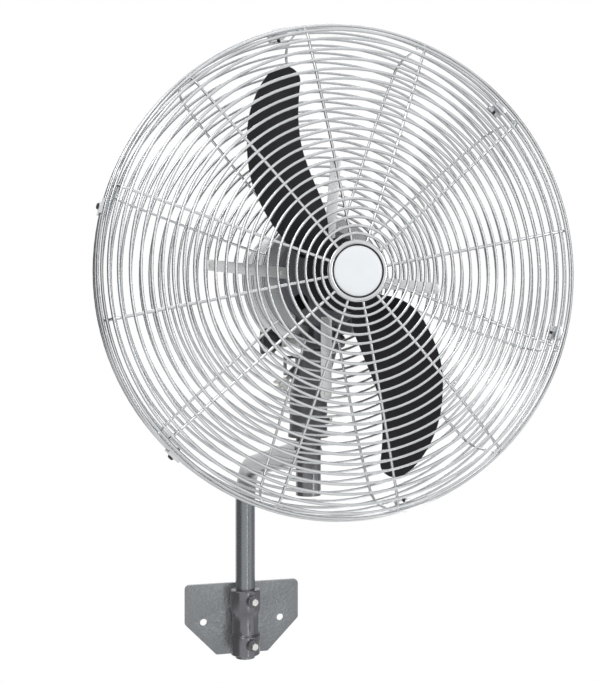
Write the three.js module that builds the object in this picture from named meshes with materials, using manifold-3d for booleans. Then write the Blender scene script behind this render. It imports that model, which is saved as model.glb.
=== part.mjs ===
// Industrial wall fan: a guarded two-blade fan head on a cranked pipe arm and a hexagonal wall bracket.
// Millimetres, +Z up. The wall is the plane Y = 0, the fan blows towards -Y, and the origin lies on the
// wall, midway between the two bolt holes of the bracket.
import * as THREE from 'three';
import { mergeVertices } from 'three/addons/utils/BufferGeometryUtils.js';
import Module from 'manifold-3d';

const wasm = await Module();
wasm.setup();

// ---------------------------------------------------------------- driving dimensions
const clearance = 0.3;

// where the fan hangs, seen from the origin
const fanStandOff = 760;
const fanHeight = 732;

// pipe arm
const pipeDiameter = 43.6;
const pipeRadius = pipeDiameter / 2;
const pipeWall = 3;
const pipeBottom = -74;
const armJointDrop = 292.6;
const bendRadius = 100;
const armSlope = 10;

// wall bracket
const plateWidth = 260;
const plateTop = 85;
const plateBottom = -74;
const plateChamferTop = -2;
const plateFootWidth = 118;
const plateCorner = 10;
const plateThickness = 8;
const wallHoleSpacing = 176;
const wallHoleDiameter = 16;
const sleeveTop = 78;
const sleeveBottom = -66;
const sleeveBore = pipeRadius + clearance;
const sleeveCollarRadius = sleeveBore + 10.9;
const sleeveWaistRadius = sleeveBore + 4.9;
const pipeStandOff = sleeveCollarRadius + 7;
const sleeveWaistTop = 26;
const sleeveWaistBottom = -19;
const sleeveBoltHeights = [53, -42];
const sleeveBoltTurn = 15;
const sleeveBossRadius = 13;
const sleeveBossReach = sleeveCollarRadius + 10;
const sleeveBoltRadius = 5;
const sleeveBoltHead = [9, 7];

// motor, lengths measured back from the fan centre along the axis
const motorRadius = 103;
const motorWall = 4;
const bellFace = 89.3;
const bellFaceWall = 5;
const bellNoseRadius = 80;
const bellShoulder = 95;
const bellEnd = 140;
const pocketLeft = 50;
const pocketRight = 46;
const pocketBack = 133.5;
const pocketTop = -45;
const bellCorner = 4;
const noseCorner = 3;
const shellEnd = 245;
const rearFace = 270;
const shaftRadius = 8;
const shaftFront = -16;
const bearingRadius = 20;
const bearingWidth = 12;
const bearingBoss = 7;
const frontBearing = 98.3;
const rearBearing = 248;
const coreStart = 165;
const coreEnd = 205;
const coreBoreRadius = 56;
const slotDepth = 16;
const slotCount = 12;
const airGap = 0.6;
const windingInner = coreBoreRadius + 6;
const windingOuter = coreBoreRadius + 26;
const windingDepth = 13;
const tieRodRadius = 2.5;
const tieRodCircle = motorRadius - motorWall - 13;
const tieRodFront = 137;
const glandDrop = -56;
const glandSpigot = 7;

// column: spigot tube, its collar and the neck, measured from the fan centre
const columnSetBack = 196;
const spigotBottom = -370;
const spigotTop = -212;
const collarBottom = -269.5;
const collarTop = -201;
const collarRadius = pipeRadius + clearance + 10.4;
const collarLip = 2.5;
const collarLipHeight = 7;
const setScrewHeight = -241;
const neckPinLength = 50;
const neckHalfWidth = 31;
const tiltSetBack = 116;
const tiltDrop = motorRadius + 1;
const forkHalfWidth = 29;
const forkRadius = 15;
const tongueHalfWidth = 16.7;
const tongueRadius = 14.5;
const tiltBoltRadius = 6;
const knobRadius = 23;
const knobInner = 70;
const knobOuter = 102;

// pan lock on the left of the neck
const lockDirection = [-0.72, 0, -0.69];
const lockBossRadius = 8;
const lockBossLength = 14;
const lockBoltRadius = 4;
const lockBoltLength = 33;
const lockPlateRadius = 10;
const lockTab = [4, 18, 33];

// fan wheel
const bladeTipRadius = 331;
const bladeThickness = 2.5;
const bladeConcaveEdge = 8;
const bladeCamber = 5;
const hubRadius = 58;
const hubThickness = 3;
const hubFace = 14;
const hubBossRadius = 17;
const hubBossFront = 4;
const hubBossBack = 38;
const hubNutHeight = 11;

// guard
const guardRadius = 380;
const wire = 4.5;
const wireCorner = wire * Math.SQRT1_2;
const ribCount = 12;
const ribStart = 11.5;
const beltHalfWidth = 12.5;
const ringSpacing = 44.91;
const frontInnerRing = 44;
const frontCrown = 77.7;
const rearInnerRing = 107.2;
const rearPlane = bellFace + wire / 2;
const rearFlatRadius = 215;
const shoulderRadius = 346.7;
const clipCount = 6;
const clipStart = 46;
const clipWidth = 22;
const clipPlate = 2;
const clipDepth = 11;
const clipBlockHalf = 6;
const clipScrewRadius = 2.4;
const capRadius = 37.5;
const capHeight = 7;
const capPlateRadius = 46;
const capPlateThickness = 1.5;

// guard spider: four flat straps on the motor face
const strapAngles = [-4.5, 85, 175, 270];
const strapWidth = 18;
const strapReach = 200;
const strapThickness = 3;
const spiderRing = 72;
const spiderHole = 34;
const spiderScrewCircle = 72;
const spiderScrewRadius = 2.6;
const ventCircle = 58;
const ventAngles = [43, 131, 223, 313];
const ventRadius = 11;
const clampWasherRadius = 8;
const strapRing = rearInnerRing + 2 * ringSpacing;
const strapClampCircle = strapRing - wire / 2 - spiderScrewRadius - 2.4;

const fineSides = 40;
const roundSides = 24;
const smallSides = 12;

// ---------------------------------------------------------------- finishes
function paint(color, roughness, metalness) {
  return () => new THREE.MeshStandardMaterial({ color, roughness, metalness });
}
const finishes = {
  hammeredGrey: paint(0x797c80, 0.5, 0.3),
  darkCasting: paint(0x5a5c60, 0.55, 0.3),
  motorGrey: paint(0x9a9da0, 0.5, 0.4),
  strapGrey: paint(0xb4b6b8, 0.45, 0.5),
  chrome: paint(0xd4d6d8, 0.15, 1.0),
  zinc: paint(0xc8c8c4, 0.35, 0.9),
  blackPlastic: paint(0x28282a, 0.5, 0.0),
  bladeCharcoal: paint(0x2d2c30, 0.5, 0.1),
  capWhite: paint(0xeff3f6, 0.35, 0.0),
  laminations: paint(0x70706e, 0.6, 0.8),
  copper: paint(0x9a5a34, 0.4, 0.8),
};

// ---------------------------------------------------------------- solids
const radians = THREE.MathUtils.degToRad;

// An indexed geometry of positions only, without collapsed triangles and facing outwards.
function cleaned(geometry) {
  const bare = geometry.clone();
  bare.deleteAttribute('normal');
  bare.deleteAttribute('uv');
  const merged = mergeVertices(bare, 1e-3);
  const position = merged.getAttribute('position');
  const index = merged.getIndex().array;
  const a = new THREE.Vector3();
  const b = new THREE.Vector3();
  const c = new THREE.Vector3();
  const kept = [];
  let volume = 0;
  for (let i = 0; i < index.length; i += 3) {
    const [p, q, r] = [index[i], index[i + 1], index[i + 2]];
    if (p === q || q === r || r === p) continue;
    a.fromBufferAttribute(position, p);
    b.fromBufferAttribute(position, q);
    c.fromBufferAttribute(position, r);
    volume += a.dot(b.cross(c));
    kept.push(p, q, r);
  }
  if (volume < 0) kept.reverse();
  merged.setIndex(kept);
  return merged;
}

function solidOf(geometry) {
  return new wasm.Manifold(new wasm.Mesh({
    numProp: 3,
    vertProperties: new Float32Array(geometry.getAttribute('position').array),
    triVerts: new Uint32Array(geometry.getIndex().array),
  }));
}

function geometryOf(solid) {
  const mesh = solid.getMesh();
  const geometry = new THREE.BufferGeometry();
  geometry.setAttribute('position', new THREE.BufferAttribute(mesh.vertProperties, 3));
  geometry.setIndex(new THREE.BufferAttribute(mesh.triVerts, 1));
  return geometry;
}

function join(first, ...others) {
  return geometryOf(others.reduce((whole, other) => whole.add(solidOf(other)), solidOf(first)));
}

function cut(first, ...tools) {
  return geometryOf(tools.reduce((whole, tool) => whole.subtract(solidOf(tool)), solidOf(first)));
}

// A piece turned about the Y axis from [radius, along] points; a profile off the axis closes on itself.
function turned(profile, sides = roundSides) {
  const points = profile.map(([radius, along]) => new THREE.Vector2(radius, along));
  if (profile[0][0] > 0) points.push(points[0].clone());
  return cleaned(new THREE.LatheGeometry(points, sides));
}

// The same about the Z axis.
function turnedUpright(profile, sides = roundSides) {
  return turned(profile, sides).rotateX(Math.PI / 2);
}

function ring(inner, outer, from, to, sides = roundSides) {
  return turned([[inner, from], [outer, from], [outer, to], [inner, to]], sides);
}

// A straight bar between two points; six sides make a hexagon head.
function bar(from, to, radius, sides = smallSides, farRadius = radius) {
  const start = new THREE.Vector3(...from);
  const end = new THREE.Vector3(...to);
  const direction = end.clone().sub(start);
  const geometry = cleaned(new THREE.CylinderGeometry(farRadius, radius, direction.length(), sides));
  const turn = new THREE.Quaternion().setFromUnitVectors(
    new THREE.Vector3(0, 1, 0), direction.normalize());
  const middle = start.add(end).multiplyScalar(0.5);
  return geometry.applyQuaternion(turn).translate(middle.x, middle.y, middle.z);
}

function block(x0, x1, y0, y1, z0, z1) {
  return cleaned(new THREE.BoxGeometry(x1 - x0, y1 - y0, z1 - z0))
    .translate((x0 + x1) / 2, (y0 + y1) / 2, (z0 + z1) / 2);
}

function extruded(shape, depth) {
  return cleaned(new THREE.ExtrudeGeometry(shape, { depth, bevelEnabled: false, curveSegments: 4 }));
}

// A flat piece drawn in X and Z, with its thickness running from y to y + thickness.
function flat(shape, y, thickness) {
  return extruded(shape, thickness).rotateX(Math.PI / 2).translate(0, y + thickness, 0);
}

// Evenly spaced points on an arc; a full turn leaves out the last one.
function arcPoints(x, y, radius, from, to, steps) {
  const full = Math.abs(to - from) === 360;
  return Array.from({ length: full ? steps : steps + 1 }, (_, i) => {
    const angle = radians(from + (to - from) * i / steps);
    return new THREE.Vector2(x + radius * Math.cos(angle), y + radius * Math.sin(angle));
  });
}

// A piece drawn in Y and Z, with its thickness centred on X = 0.
function sideways(points, halfWidth) {
  const shape = new THREE.Shape(points.map(([y, z]) => new THREE.Vector2(y, z)));
  return extruded(shape, 2 * halfWidth)
    .rotateX(Math.PI / 2)
    .rotateZ(Math.PI / 2)
    .translate(-halfWidth, 0, 0);
}

// A skin over closed loops of points, capped at both ends.
function loft(loops) {
  const sides = loops[0].length;
  const positions = loops.flat().flatMap((point) => [point.x, point.y, point.z]);
  const index = [];
  for (let i = 0; i + 1 < loops.length; i += 1) {
    for (let j = 0; j < sides; j += 1) {
      const k = (j + 1) % sides;
      const [a, b] = [i * sides + j, i * sides + k];
      const [c, d] = [a + sides, b + sides];
      index.push(a, b, d, a, d, c);
    }
  }
  const last = (loops.length - 1) * sides;
  for (let j = 1; j + 1 < sides; j += 1) {
    index.push(0, j + 1, j);
    index.push(last, last + j, last + j + 1);
  }
  const geometry = new THREE.BufferGeometry();
  geometry.setAttribute('position', new THREE.Float32BufferAttribute(positions, 3));
  geometry.setIndex(index);
  return cleaned(geometry);
}

// A hexagon bolt from its seat, with the shank running the other way.
function bolt(seat, direction, headRadius, headHeight, shankRadius, shankLength) {
  const at = (distance) => new THREE.Vector3(...seat).addScaledVector(direction, distance).toArray();
  return join(
    bar(at(0), at(headHeight), headRadius, 6),
    bar(at(-shankLength), at(headHeight / 2), shankRadius),
  );
}

const wallGroup = new THREE.Group();
const fanGroup = new THREE.Group();
fanGroup.position.set(0, -fanStandOff, fanHeight);

function add(group, name, geometry, finish) {
  const mesh = new THREE.Mesh(geometry, finish());
  mesh.name = name;
  group.add(mesh);
}

// ---------------------------------------------------------------- wall bracket
const boltTurn = radians(sleeveBoltTurn);
const boltDirection = new THREE.Vector3(Math.sin(boltTurn), -Math.cos(boltTurn), 0);

function plateShape() {
  const half = plateWidth / 2;
  const cornerX = half - plateCorner;
  const cornerZ = plateTop - plateCorner;
  const shape = new THREE.Shape([
    new THREE.Vector2(-plateFootWidth / 2, plateBottom),
    new THREE.Vector2(plateFootWidth / 2, plateBottom),
    new THREE.Vector2(half, plateChamferTop),
    ...arcPoints(cornerX, cornerZ, plateCorner, 0, 90, 6),
    ...arcPoints(-cornerX, cornerZ, plateCorner, 90, 180, 6),
    new THREE.Vector2(-half, plateChamferTop),
  ]);
  for (const side of [-1, 1]) {
    shape.holes.push(new THREE.Path(
      arcPoints(side * wallHoleSpacing / 2, 0, wallHoleDiameter / 2, 360, 0, roundSides)));
  }
  return shape;
}

function buildWallBracket() {
  const sleeve = turnedUpright([
    [0, sleeveBottom],
    [sleeveCollarRadius, sleeveBottom],
    [sleeveCollarRadius, sleeveWaistBottom - 3],
    [sleeveWaistRadius, sleeveWaistBottom + 3],
    [sleeveWaistRadius, sleeveWaistTop - 3],
    [sleeveCollarRadius, sleeveWaistTop + 3],
    [sleeveCollarRadius, sleeveTop],
    [0, sleeveTop],
  ]).translate(0, -pipeStandOff, 0);
  const web = block(-15, 15, -pipeStandOff, -plateThickness / 2, sleeveBottom + 6, sleeveTop - 6);
  const onPipe = (height, reach) => [
    boltDirection.x * reach, -pipeStandOff + boltDirection.y * reach, height];
  const bosses = sleeveBoltHeights.map(
    (height) => bar(onPipe(height, 0), onPipe(height, sleeveBossReach), sleeveBossRadius, roundSides));
  const body = join(flat(plateShape(), -plateThickness, plateThickness), sleeve, web, ...bosses);
  const bore = bar([0, -pipeStandOff, plateBottom - 10], [0, -pipeStandOff, sleeveTop + 10],
    sleeveBore, roundSides);
  const boltHoles = sleeveBoltHeights.map(
    (height) => bar(onPipe(height, 5), onPipe(height, sleeveBossReach + 5),
      sleeveBoltRadius + clearance));
  add(wallGroup, 'wall_bracket', cut(body, bore, ...boltHoles), finishes.hammeredGrey);
  const shank = sleeveBossReach - pipeRadius - 2 * clearance;
  const names = ['sleeve_bolt_upper', 'sleeve_bolt_lower'];
  sleeveBoltHeights.forEach((height, i) => {
    const seat = onPipe(height, sleeveBossReach + clearance);
    add(wallGroup, names[i], bolt(seat, boltDirection, ...sleeveBoltHead, sleeveBoltRadius, shank),
      finishes.zinc);
  });
}

// ---------------------------------------------------------------- pipe arm
const columnY = columnSetBack - fanStandOff;

// A run of stations with their tangents, so that a swept section has a step only where it bends.
class StationPath extends THREE.Curve {
  constructor(points, tangents) {
    super();
    this.points = points;
    this.tangents = tangents;
  }
  at(list, t) {
    const place = t * (list.length - 1);
    const i = Math.min(Math.floor(place + 1e-9), list.length - 2);
    return list[i].clone().lerp(list[i + 1], place - i);
  }
  getPoint(t) {
    return this.at(this.points, t);
  }
  getTangent(t) {
    return this.at(this.tangents, t).normalize();
  }
  getUtoTmapping(u) {
    return u;
  }
}

// The arm's centre line: up from the wall bracket, round one bend, and on to the column.
function armPath() {
  const slope = radians(armSlope);
  const turn = Math.PI / 2 - slope;
  const reach = -pipeStandOff - columnY;
  const jointHeight = fanHeight - armJointDrop;
  const cornerHeight = jointHeight - reach * Math.tan(slope);
  const bendStart = cornerHeight - bendRadius * Math.tan(turn / 2);
  const centreY = -pipeStandOff - bendRadius;
  const steps = 10;
  const points = [new THREE.Vector3(0, -pipeStandOff, pipeBottom)];
  const tangents = [new THREE.Vector3(0, 0, 1)];
  for (let i = 0; i <= steps; i += 1) {
    const angle = turn * i / steps;
    points.push(new THREE.Vector3(0, centreY + bendRadius * Math.cos(angle),
      bendStart + bendRadius * Math.sin(angle)));
    tangents.push(new THREE.Vector3(0, -Math.sin(angle), Math.cos(angle)));
  }
  points.push(new THREE.Vector3(0, columnY, jointHeight));
  tangents.push(new THREE.Vector3(0, -Math.cos(slope), Math.sin(slope)));
  return new StationPath(points, tangents);
}

function buildArm() {
  const section = new THREE.Shape(arcPoints(0, 0, pipeRadius, 0, 360, roundSides));
  section.holes.push(new THREE.Path(arcPoints(0, 0, pipeRadius - pipeWall, 360, 0, roundSides)));
  const path = armPath();
  const swept = cleaned(new THREE.ExtrudeGeometry(section, {
    steps: path.points.length - 1, extrudePath: path }));
  const spigotZ = (height) => fanHeight + height;
  const saddle = bar([0, columnY, spigotZ(spigotBottom)], [0, columnY, spigotZ(spigotTop)],
    pipeRadius + clearance, roundSides);
  const beyond = block(-60, 60, columnY - 80, columnY, spigotZ(spigotBottom), spigotZ(spigotTop));
  add(wallGroup, 'arm_pipe', cut(swept, saddle, beyond), finishes.hammeredGrey);
  add(wallGroup, 'spigot_tube', turnedUpright([
    [pipeRadius - pipeWall, spigotZ(spigotBottom)],
    [pipeRadius, spigotZ(spigotBottom)],
    [pipeRadius, spigotZ(spigotTop)],
    [pipeRadius - pipeWall, spigotZ(spigotTop)],
  ]).translate(0, columnY, 0), finishes.hammeredGrey);
}

// ---------------------------------------------------------------- collar, neck and tilt joint
function buildCollar() {
  const body = turnedUpright([
    [pipeRadius + clearance, collarBottom],
    [collarRadius + collarLip, collarBottom],
    [collarRadius + collarLip, collarBottom + collarLipHeight],
    [collarRadius, collarBottom + collarLipHeight + 3],
    [collarRadius, collarTop - 2],
    [collarRadius - 2, collarTop],
    [pipeRadius + clearance, collarTop],
  ]).translate(0, columnSetBack, 0);
  const boss = bar([pipeRadius + 4, columnSetBack, setScrewHeight],
    [collarRadius + 4, columnSetBack, setScrewHeight], 8, roundSides);
  const hole = bar([pipeRadius - 4, columnSetBack, setScrewHeight],
    [collarRadius + 9, columnSetBack, setScrewHeight], 4 + clearance);
  add(fanGroup, 'spigot_collar', cut(join(body, boss), hole), finishes.darkCasting);
  add(fanGroup, 'collar_set_screw', bolt([collarRadius + 4 + clearance, columnSetBack, setScrewHeight],
    new THREE.Vector3(1, 0, 0), 6.5, 5, 4, collarRadius + 4 - pipeRadius - clearance), finishes.zinc);
}

// The neck leans from the column up and forward to the fork. Each station says how far it is up, forward
// and drawn in, as shares of the way to the fork, and its half depth.
const neckStations = [
  [0, 0, 0, 30],
  [0.17, 0.04, 0, 30],
  [0.35, 0.19, 0, 28],
  [0.53, 0.43, 0.25, 25],
  [0.67, 0.65, 0.65, 21.5],
  [0.8, 0.83, 1, 18],
  [0.91, 0.95, 1, 14],
];

const upNeck = (share) => THREE.MathUtils.lerp(collarTop + clearance, -tiltDrop, share);
const forwardNeck = (share) => THREE.MathUtils.lerp(columnSetBack, tiltSetBack, share);

// A loop with flattened sides, rounder than a rectangle and fuller than an ellipse.
function neckLoop([up, forward, drawnIn, halfDepth]) {
  const fullness = 0.75;
  const halfWidth = THREE.MathUtils.lerp(neckHalfWidth, forkHalfWidth, drawnIn);
  return Array.from({ length: roundSides }, (_, i) => {
    const angle = 2 * Math.PI * i / roundSides;
    const [c, s] = [Math.cos(angle), Math.sin(angle)];
    return new THREE.Vector3(
      halfWidth * Math.sign(c) * Math.abs(c) ** fullness,
      forwardNeck(forward) + halfDepth * Math.sign(s) * Math.abs(s) ** fullness,
      upNeck(up));
  });
}

const lockAxis = new THREE.Vector3(...lockDirection).normalize();
const lockSeat = new THREE.Vector3(2 - neckHalfWidth, forwardNeck(1 / 3), upNeck(0.5));

function alongLock(distance) {
  return lockSeat.clone().addScaledVector(lockAxis, distance).toArray();
}

function buildNeck() {
  const tiltLine = (half) => [[-half, tiltSetBack, -tiltDrop], [half, tiltSetBack, -tiltDrop]];
  const fork = bar(...tiltLine(forkHalfWidth), forkRadius, roundSides);
  const pin = bar([0, columnSetBack, spigotTop - neckPinLength], [0, columnSetBack, collarTop + 5],
    pipeRadius - pipeWall - clearance, roundSides);
  const shoulder = bar([0, columnSetBack, spigotTop + clearance], [0, columnSetBack, collarTop + 4],
    pipeRadius - clearance, roundSides);
  const boss = bar(alongLock(-12), alongLock(lockBossLength), lockBossRadius, roundSides);
  const body = join(loft(neckStations.map(neckLoop)), fork, pin, shoulder, boss);
  const slotHalf = tongueHalfWidth + clearance;
  const slot = bar(...tiltLine(slotHalf), tongueRadius + 2, roundSides);
  const mouth = block(-slotHalf, slotHalf, tiltSetBack - forkRadius - 5, tiltSetBack + forkRadius + 9,
    -tiltDrop, -tiltDrop + forkRadius + 5);
  const pivot = bar(...tiltLine(forkHalfWidth + 5), tiltBoltRadius + clearance);
  const lockHole = bar(alongLock(0), alongLock(lockBossLength + 5), lockBoltRadius + clearance);
  add(fanGroup, 'neck_casting', cut(body, slot, mouth, pivot, lockHole), finishes.darkCasting);
}

function buildTiltJoint() {
  const right = forkHalfWidth + clearance;
  const onAxis = (x) => [x, tiltSetBack, -tiltDrop];
  add(fanGroup, 'tilt_pivot_bolt', join(
    bar(onAxis(right), onAxis(right + 2), 13, roundSides),
    bar(onAxis(right + 1), onAxis(right + 10), 11, 6),
    bar(onAxis(-knobInner - 14), onAxis(right + 5), tiltBoltRadius),
    bar(onAxis(-right - 10), onAxis(-right), 12, roundSides, 13),
  ), finishes.zinc);
  const lobes = 5;
  const outline = new THREE.Shape(Array.from({ length: 30 }, (_, i) => {
    const angle = 2 * Math.PI * i / 30;
    const radius = knobRadius * (0.9 + 0.1 * Math.cos(lobes * angle));
    return new THREE.Vector2(radius * Math.cos(angle), radius * Math.sin(angle));
  }));
  const grip = cleaned(new THREE.ExtrudeGeometry(outline, {
    depth: knobOuter - knobInner - 10, bevelEnabled: true, bevelThickness: 2, bevelSize: 2,
    bevelOffset: -2, bevelSegments: 1 }))
    .rotateY(-Math.PI / 2)
    .translate(-knobInner - 8, tiltSetBack, -tiltDrop);
  const hub = bar(onAxis(-knobInner), onAxis(-knobInner - 10), 11, roundSides, 14);
  const socket = bar(onAxis(-knobInner + 5), onAxis(-knobInner - 14 - clearance),
    tiltBoltRadius + clearance);
  add(fanGroup, 'tilt_knob', cut(join(grip, hub), socket), finishes.blackPlastic);
}

function buildPanLock() {
  const seat = lockBossLength + 2 * clearance + 2;
  const end = seat + lockBoltLength;
  const wing = new THREE.Shape();
  wing.moveTo(-4, 0);
  wing.lineTo(4, 0);
  wing.quadraticCurveTo(17, 6, 15, 17);
  wing.quadraticCurveTo(9, 18, 3, 10);
  wing.lineTo(-3, 10);
  wing.quadraticCurveTo(-9, 18, -15, 17);
  wing.quadraticCurveTo(-17, 6, -4, 0);
  const turn = new THREE.Quaternion().setFromUnitVectors(new THREE.Vector3(0, 1, 0), lockAxis);
  const wings = extruded(wing, 4)
    .translate(0, 0, -2)
    .rotateY(Math.PI / 2)
    .applyQuaternion(turn)
    .translate(...alongLock(end - 20));
  const core = join(
    bar(alongLock(clearance), alongLock(end - 4), lockBoltRadius),
    bar(alongLock(end - 22), alongLock(end - 8), 6.5),
    wings,
  );
  add(fanGroup, 'pan_lock_bolt', core, finishes.zinc);
  const plate = bar(alongLock(lockBossLength + clearance), alongLock(seat - clearance), lockPlateRadius,
    roundSides);
  const [thickness, width, height] = lockTab;
  const tab = block(-thickness / 2, thickness / 2, -width / 2, width / 2, 0, height)
    .translate(lockSeat.x - 18.5, lockSeat.y, lockSeat.z - 9);
  const hole = bar(alongLock(0), alongLock(seat + 5), lockBoltRadius + clearance);
  add(fanGroup, 'lock_bracket', cut(join(plate, tab), hole), finishes.motorGrey);
}

// ---------------------------------------------------------------- motor
function places(radius, angles) {
  return angles.map((angle) => [
    radius * Math.cos(radians(angle)), radius * Math.sin(radians(angle))]);
}

// Cutters for holes of one radius through a wall that starts at y.
function through(spots, radius, y, thickness) {
  const sides = radius > 5 ? roundSides : smallSides;
  return spots.map(([x, z]) => bar([x, y - 5, z], [x, y + thickness + 2, z], radius, sides));
}

const tieRodPlaces = places(tieRodCircle, [45, 135, 225, 315]);
const spiderScrewPlaces = places(spiderScrewCircle, strapAngles);
const ventPlaces = places(ventCircle, ventAngles);

// The round parts of the front bell, drawn in by a wall: the drum and the nose that stands out of it.
function bellDrum(wall) {
  const [radius, front] = [motorRadius - wall, bellShoulder + wall];
  return turned([
    [0, front],
    [radius - bellCorner, front],
    [radius, front + bellCorner],
    [radius, bellEnd],
    [0, bellEnd],
  ], fineSides);
}

function bellNose(wall, front) {
  const radius = bellNoseRadius - wall;
  return turned([
    [0, front],
    [radius - noseCorner, front],
    [radius, front + noseCorner],
    [radius, bellEnd],
    [0, bellEnd],
  ], fineSides);
}

// The pocket under the nose that the tilt fork sits in, grown by a wall.
function bellPocket(wall) {
  const reach = motorRadius + 5;
  return cut(
    block(-pocketLeft - wall, pocketRight + wall, bellFace - 5, pocketBack + wall, -reach, pocketTop),
    bar([0, bellFace - 10, 0], [0, bellEnd + 5, 0], bellNoseRadius - wall, fineSides));
}

function buildBells() {
  const bearingBore = bearingRadius + clearance;
  const boss = bearingRadius + bearingBoss;
  const outside = cut(join(bellDrum(0), bellNose(0, bellFace)), bellPocket(0));
  const hollow = cut(join(bellDrum(motorWall), bellNose(motorWall, bellFace + bellFaceWall)),
    bellPocket(motorWall));
  const bearingSeat = turned([
    [shaftRadius + 4, bellFace + 1],
    [boss, bellFace + 1],
    [boss, frontBearing + bearingWidth],
    [bearingBore, frontBearing + bearingWidth],
    [bearingBore, frontBearing - clearance],
    [shaftRadius + 4, frontBearing - clearance],
  ], fineSides);
  const shaftHole = bar([0, bellFace - 5, 0], [0, frontBearing, 0], shaftRadius + 4, fineSides);
  const front = cut(join(cut(outside, hollow), bearingSeat), shaftHole);
  const lugTop = motorWall - bellNoseRadius;
  const lugBack = pocketBack + motorWall / 2;
  const lug = sideways([
    [tiltSetBack - tongueRadius + 1, -tiltDrop],
    [tiltSetBack - tongueRadius + 1, lugTop],
    [lugBack, lugTop],
    [lugBack, -tiltDrop + tongueRadius / 2],
    [tiltSetBack + tongueRadius - 0.5, -tiltDrop],
  ], tongueHalfWidth);
  const axis = (half) => [[-half, tiltSetBack, -tiltDrop], [half, tiltSetBack, -tiltDrop]];
  const barrel = bar(...axis(tongueHalfWidth), tongueRadius, roundSides);
  const pivot = bar(...axis(tongueHalfWidth + 5), tiltBoltRadius + clearance);
  add(fanGroup, 'motor_front_bell', cut(join(front, lug, barrel), pivot,
    ...through(spiderScrewPlaces, spiderScrewRadius + clearance, bellFace, bellFaceWall),
    ...through(ventPlaces, ventRadius, bellFace, bellFaceWall)), finishes.motorGrey);

  const rear = turned([
    [0, rearFace],
    [motorRadius - 11, rearFace],
    [motorRadius - 7, rearFace - 3],
    [motorRadius, rearFace - 14],
    [motorRadius, shellEnd + clearance],
    [motorRadius - motorWall, shellEnd + clearance],
    [motorRadius - motorWall, rearFace - 15],
    [motorRadius - 10, rearFace - 6.5],
    [motorRadius - 13, rearFace - 4],
    [boss, rearFace - 4],
    [boss, rearBearing],
    [bearingBore, rearBearing],
    [bearingBore, rearBearing + bearingWidth + clearance],
    [0, rearBearing + bearingWidth + clearance],
  ], fineSides);
  const rodHoles = tieRodPlaces.map(
    ([x, z]) => bar([x, shellEnd, z], [x, rearFace + 5, z], tieRodRadius + clearance));
  const glandHole = bar([0, shellEnd, glandDrop], [0, rearFace + 5, glandDrop], glandSpigot + clearance,
    roundSides);
  add(fanGroup, 'motor_rear_bell', cut(rear, glandHole, ...rodHoles), finishes.motorGrey);
}

function buildMotor() {
  buildBells();
  add(fanGroup, 'motor_shell',
    ring(motorRadius - motorWall, motorRadius, bellEnd + clearance, shellEnd, fineSides),
    finishes.motorGrey);

  const slotShape = new THREE.Shape(
    arcPoints(0, 0, motorRadius - motorWall - clearance, 0, 360, fineSides));
  const teeth = Array.from({ length: 4 * slotCount }, (_, i) => {
    const angle = 2 * Math.PI * i / (4 * slotCount);
    const radius = i % 4 < 2 ? coreBoreRadius : coreBoreRadius + slotDepth;
    return new THREE.Vector2(radius * Math.cos(angle), radius * Math.sin(angle));
  });
  slotShape.holes.push(new THREE.Path(teeth));
  for (const [x, z] of tieRodPlaces) {
    slotShape.holes.push(new THREE.Path(
      arcPoints(x, z, tieRodRadius + clearance, 360, 0, smallSides)));
  }
  add(fanGroup, 'stator_core', flat(slotShape, coreStart, coreEnd - coreStart), finishes.laminations);

  const coil = (from, to) => turned([
    [windingInner + 3, from],
    [windingOuter - 3, from],
    [windingOuter, from + 4],
    [windingOuter, to - 4],
    [windingOuter - 3, to],
    [windingInner + 3, to],
    [windingInner, to - 4],
    [windingInner, from + 4],
  ]);
  add(fanGroup, 'stator_winding_front', coil(coreStart - clearance - windingDepth, coreStart - clearance),
    finishes.copper);
  add(fanGroup, 'stator_winding_rear', coil(coreEnd + clearance, coreEnd + clearance + windingDepth),
    finishes.copper);

  for (const [name, from] of [['bearing_front', frontBearing], ['bearing_rear', rearBearing]]) {
    add(fanGroup, name, ring(shaftRadius + clearance, bearingRadius, from, from + bearingWidth),
      finishes.zinc);
  }

  tieRodPlaces.forEach(([x, z], i) => {
    add(fanGroup, `motor_tie_rod_${i + 1}`, bolt([x, rearFace + clearance, z],
      new THREE.Vector3(0, 1, 0), 5, 4, tieRodRadius, rearFace - tieRodFront), finishes.zinc);
  });

  add(fanGroup, 'cable_gland', turned([
    [4, rearFace - 4],
    [glandSpigot, rearFace - 4],
    [glandSpigot, rearFace + clearance],
    [12, rearFace + clearance],
    [12, rearFace + 6],
    [9, rearFace + 8],
    [7, rearFace + 18],
    [4, rearFace + 18],
  ]).translate(0, 0, glandDrop), finishes.blackPlastic);
}

// ---------------------------------------------------------------- fan wheel
// The blade's outline and twist, as [radius, concave edge angle, convex edge angle, how far the
// convex edge lies in front of the concave one]. Angles run anticlockwise from the right, from in front.
const bladeStations = [
  [32, 118, 144, 0],
  [46, 112, 150, 0],
  [68, 106, 154, 2],
  [90, 104, 157, 22],
  [120, 105.5, 153, 43],
  [160, 107.5, 145.5, 42],
  [200, 108, 138.5, 40],
  [240, 106.5, 130.5, 35],
  [280, 104, 122.5, 27],
  [310, 102.5, 115.5, 19],
  [325, 103.5, 111.5, 14],
  [bladeTipRadius, 105.5, 109, 12],
];
const bladeSeat = hubFace - clearance - bladeThickness / 2;

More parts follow.
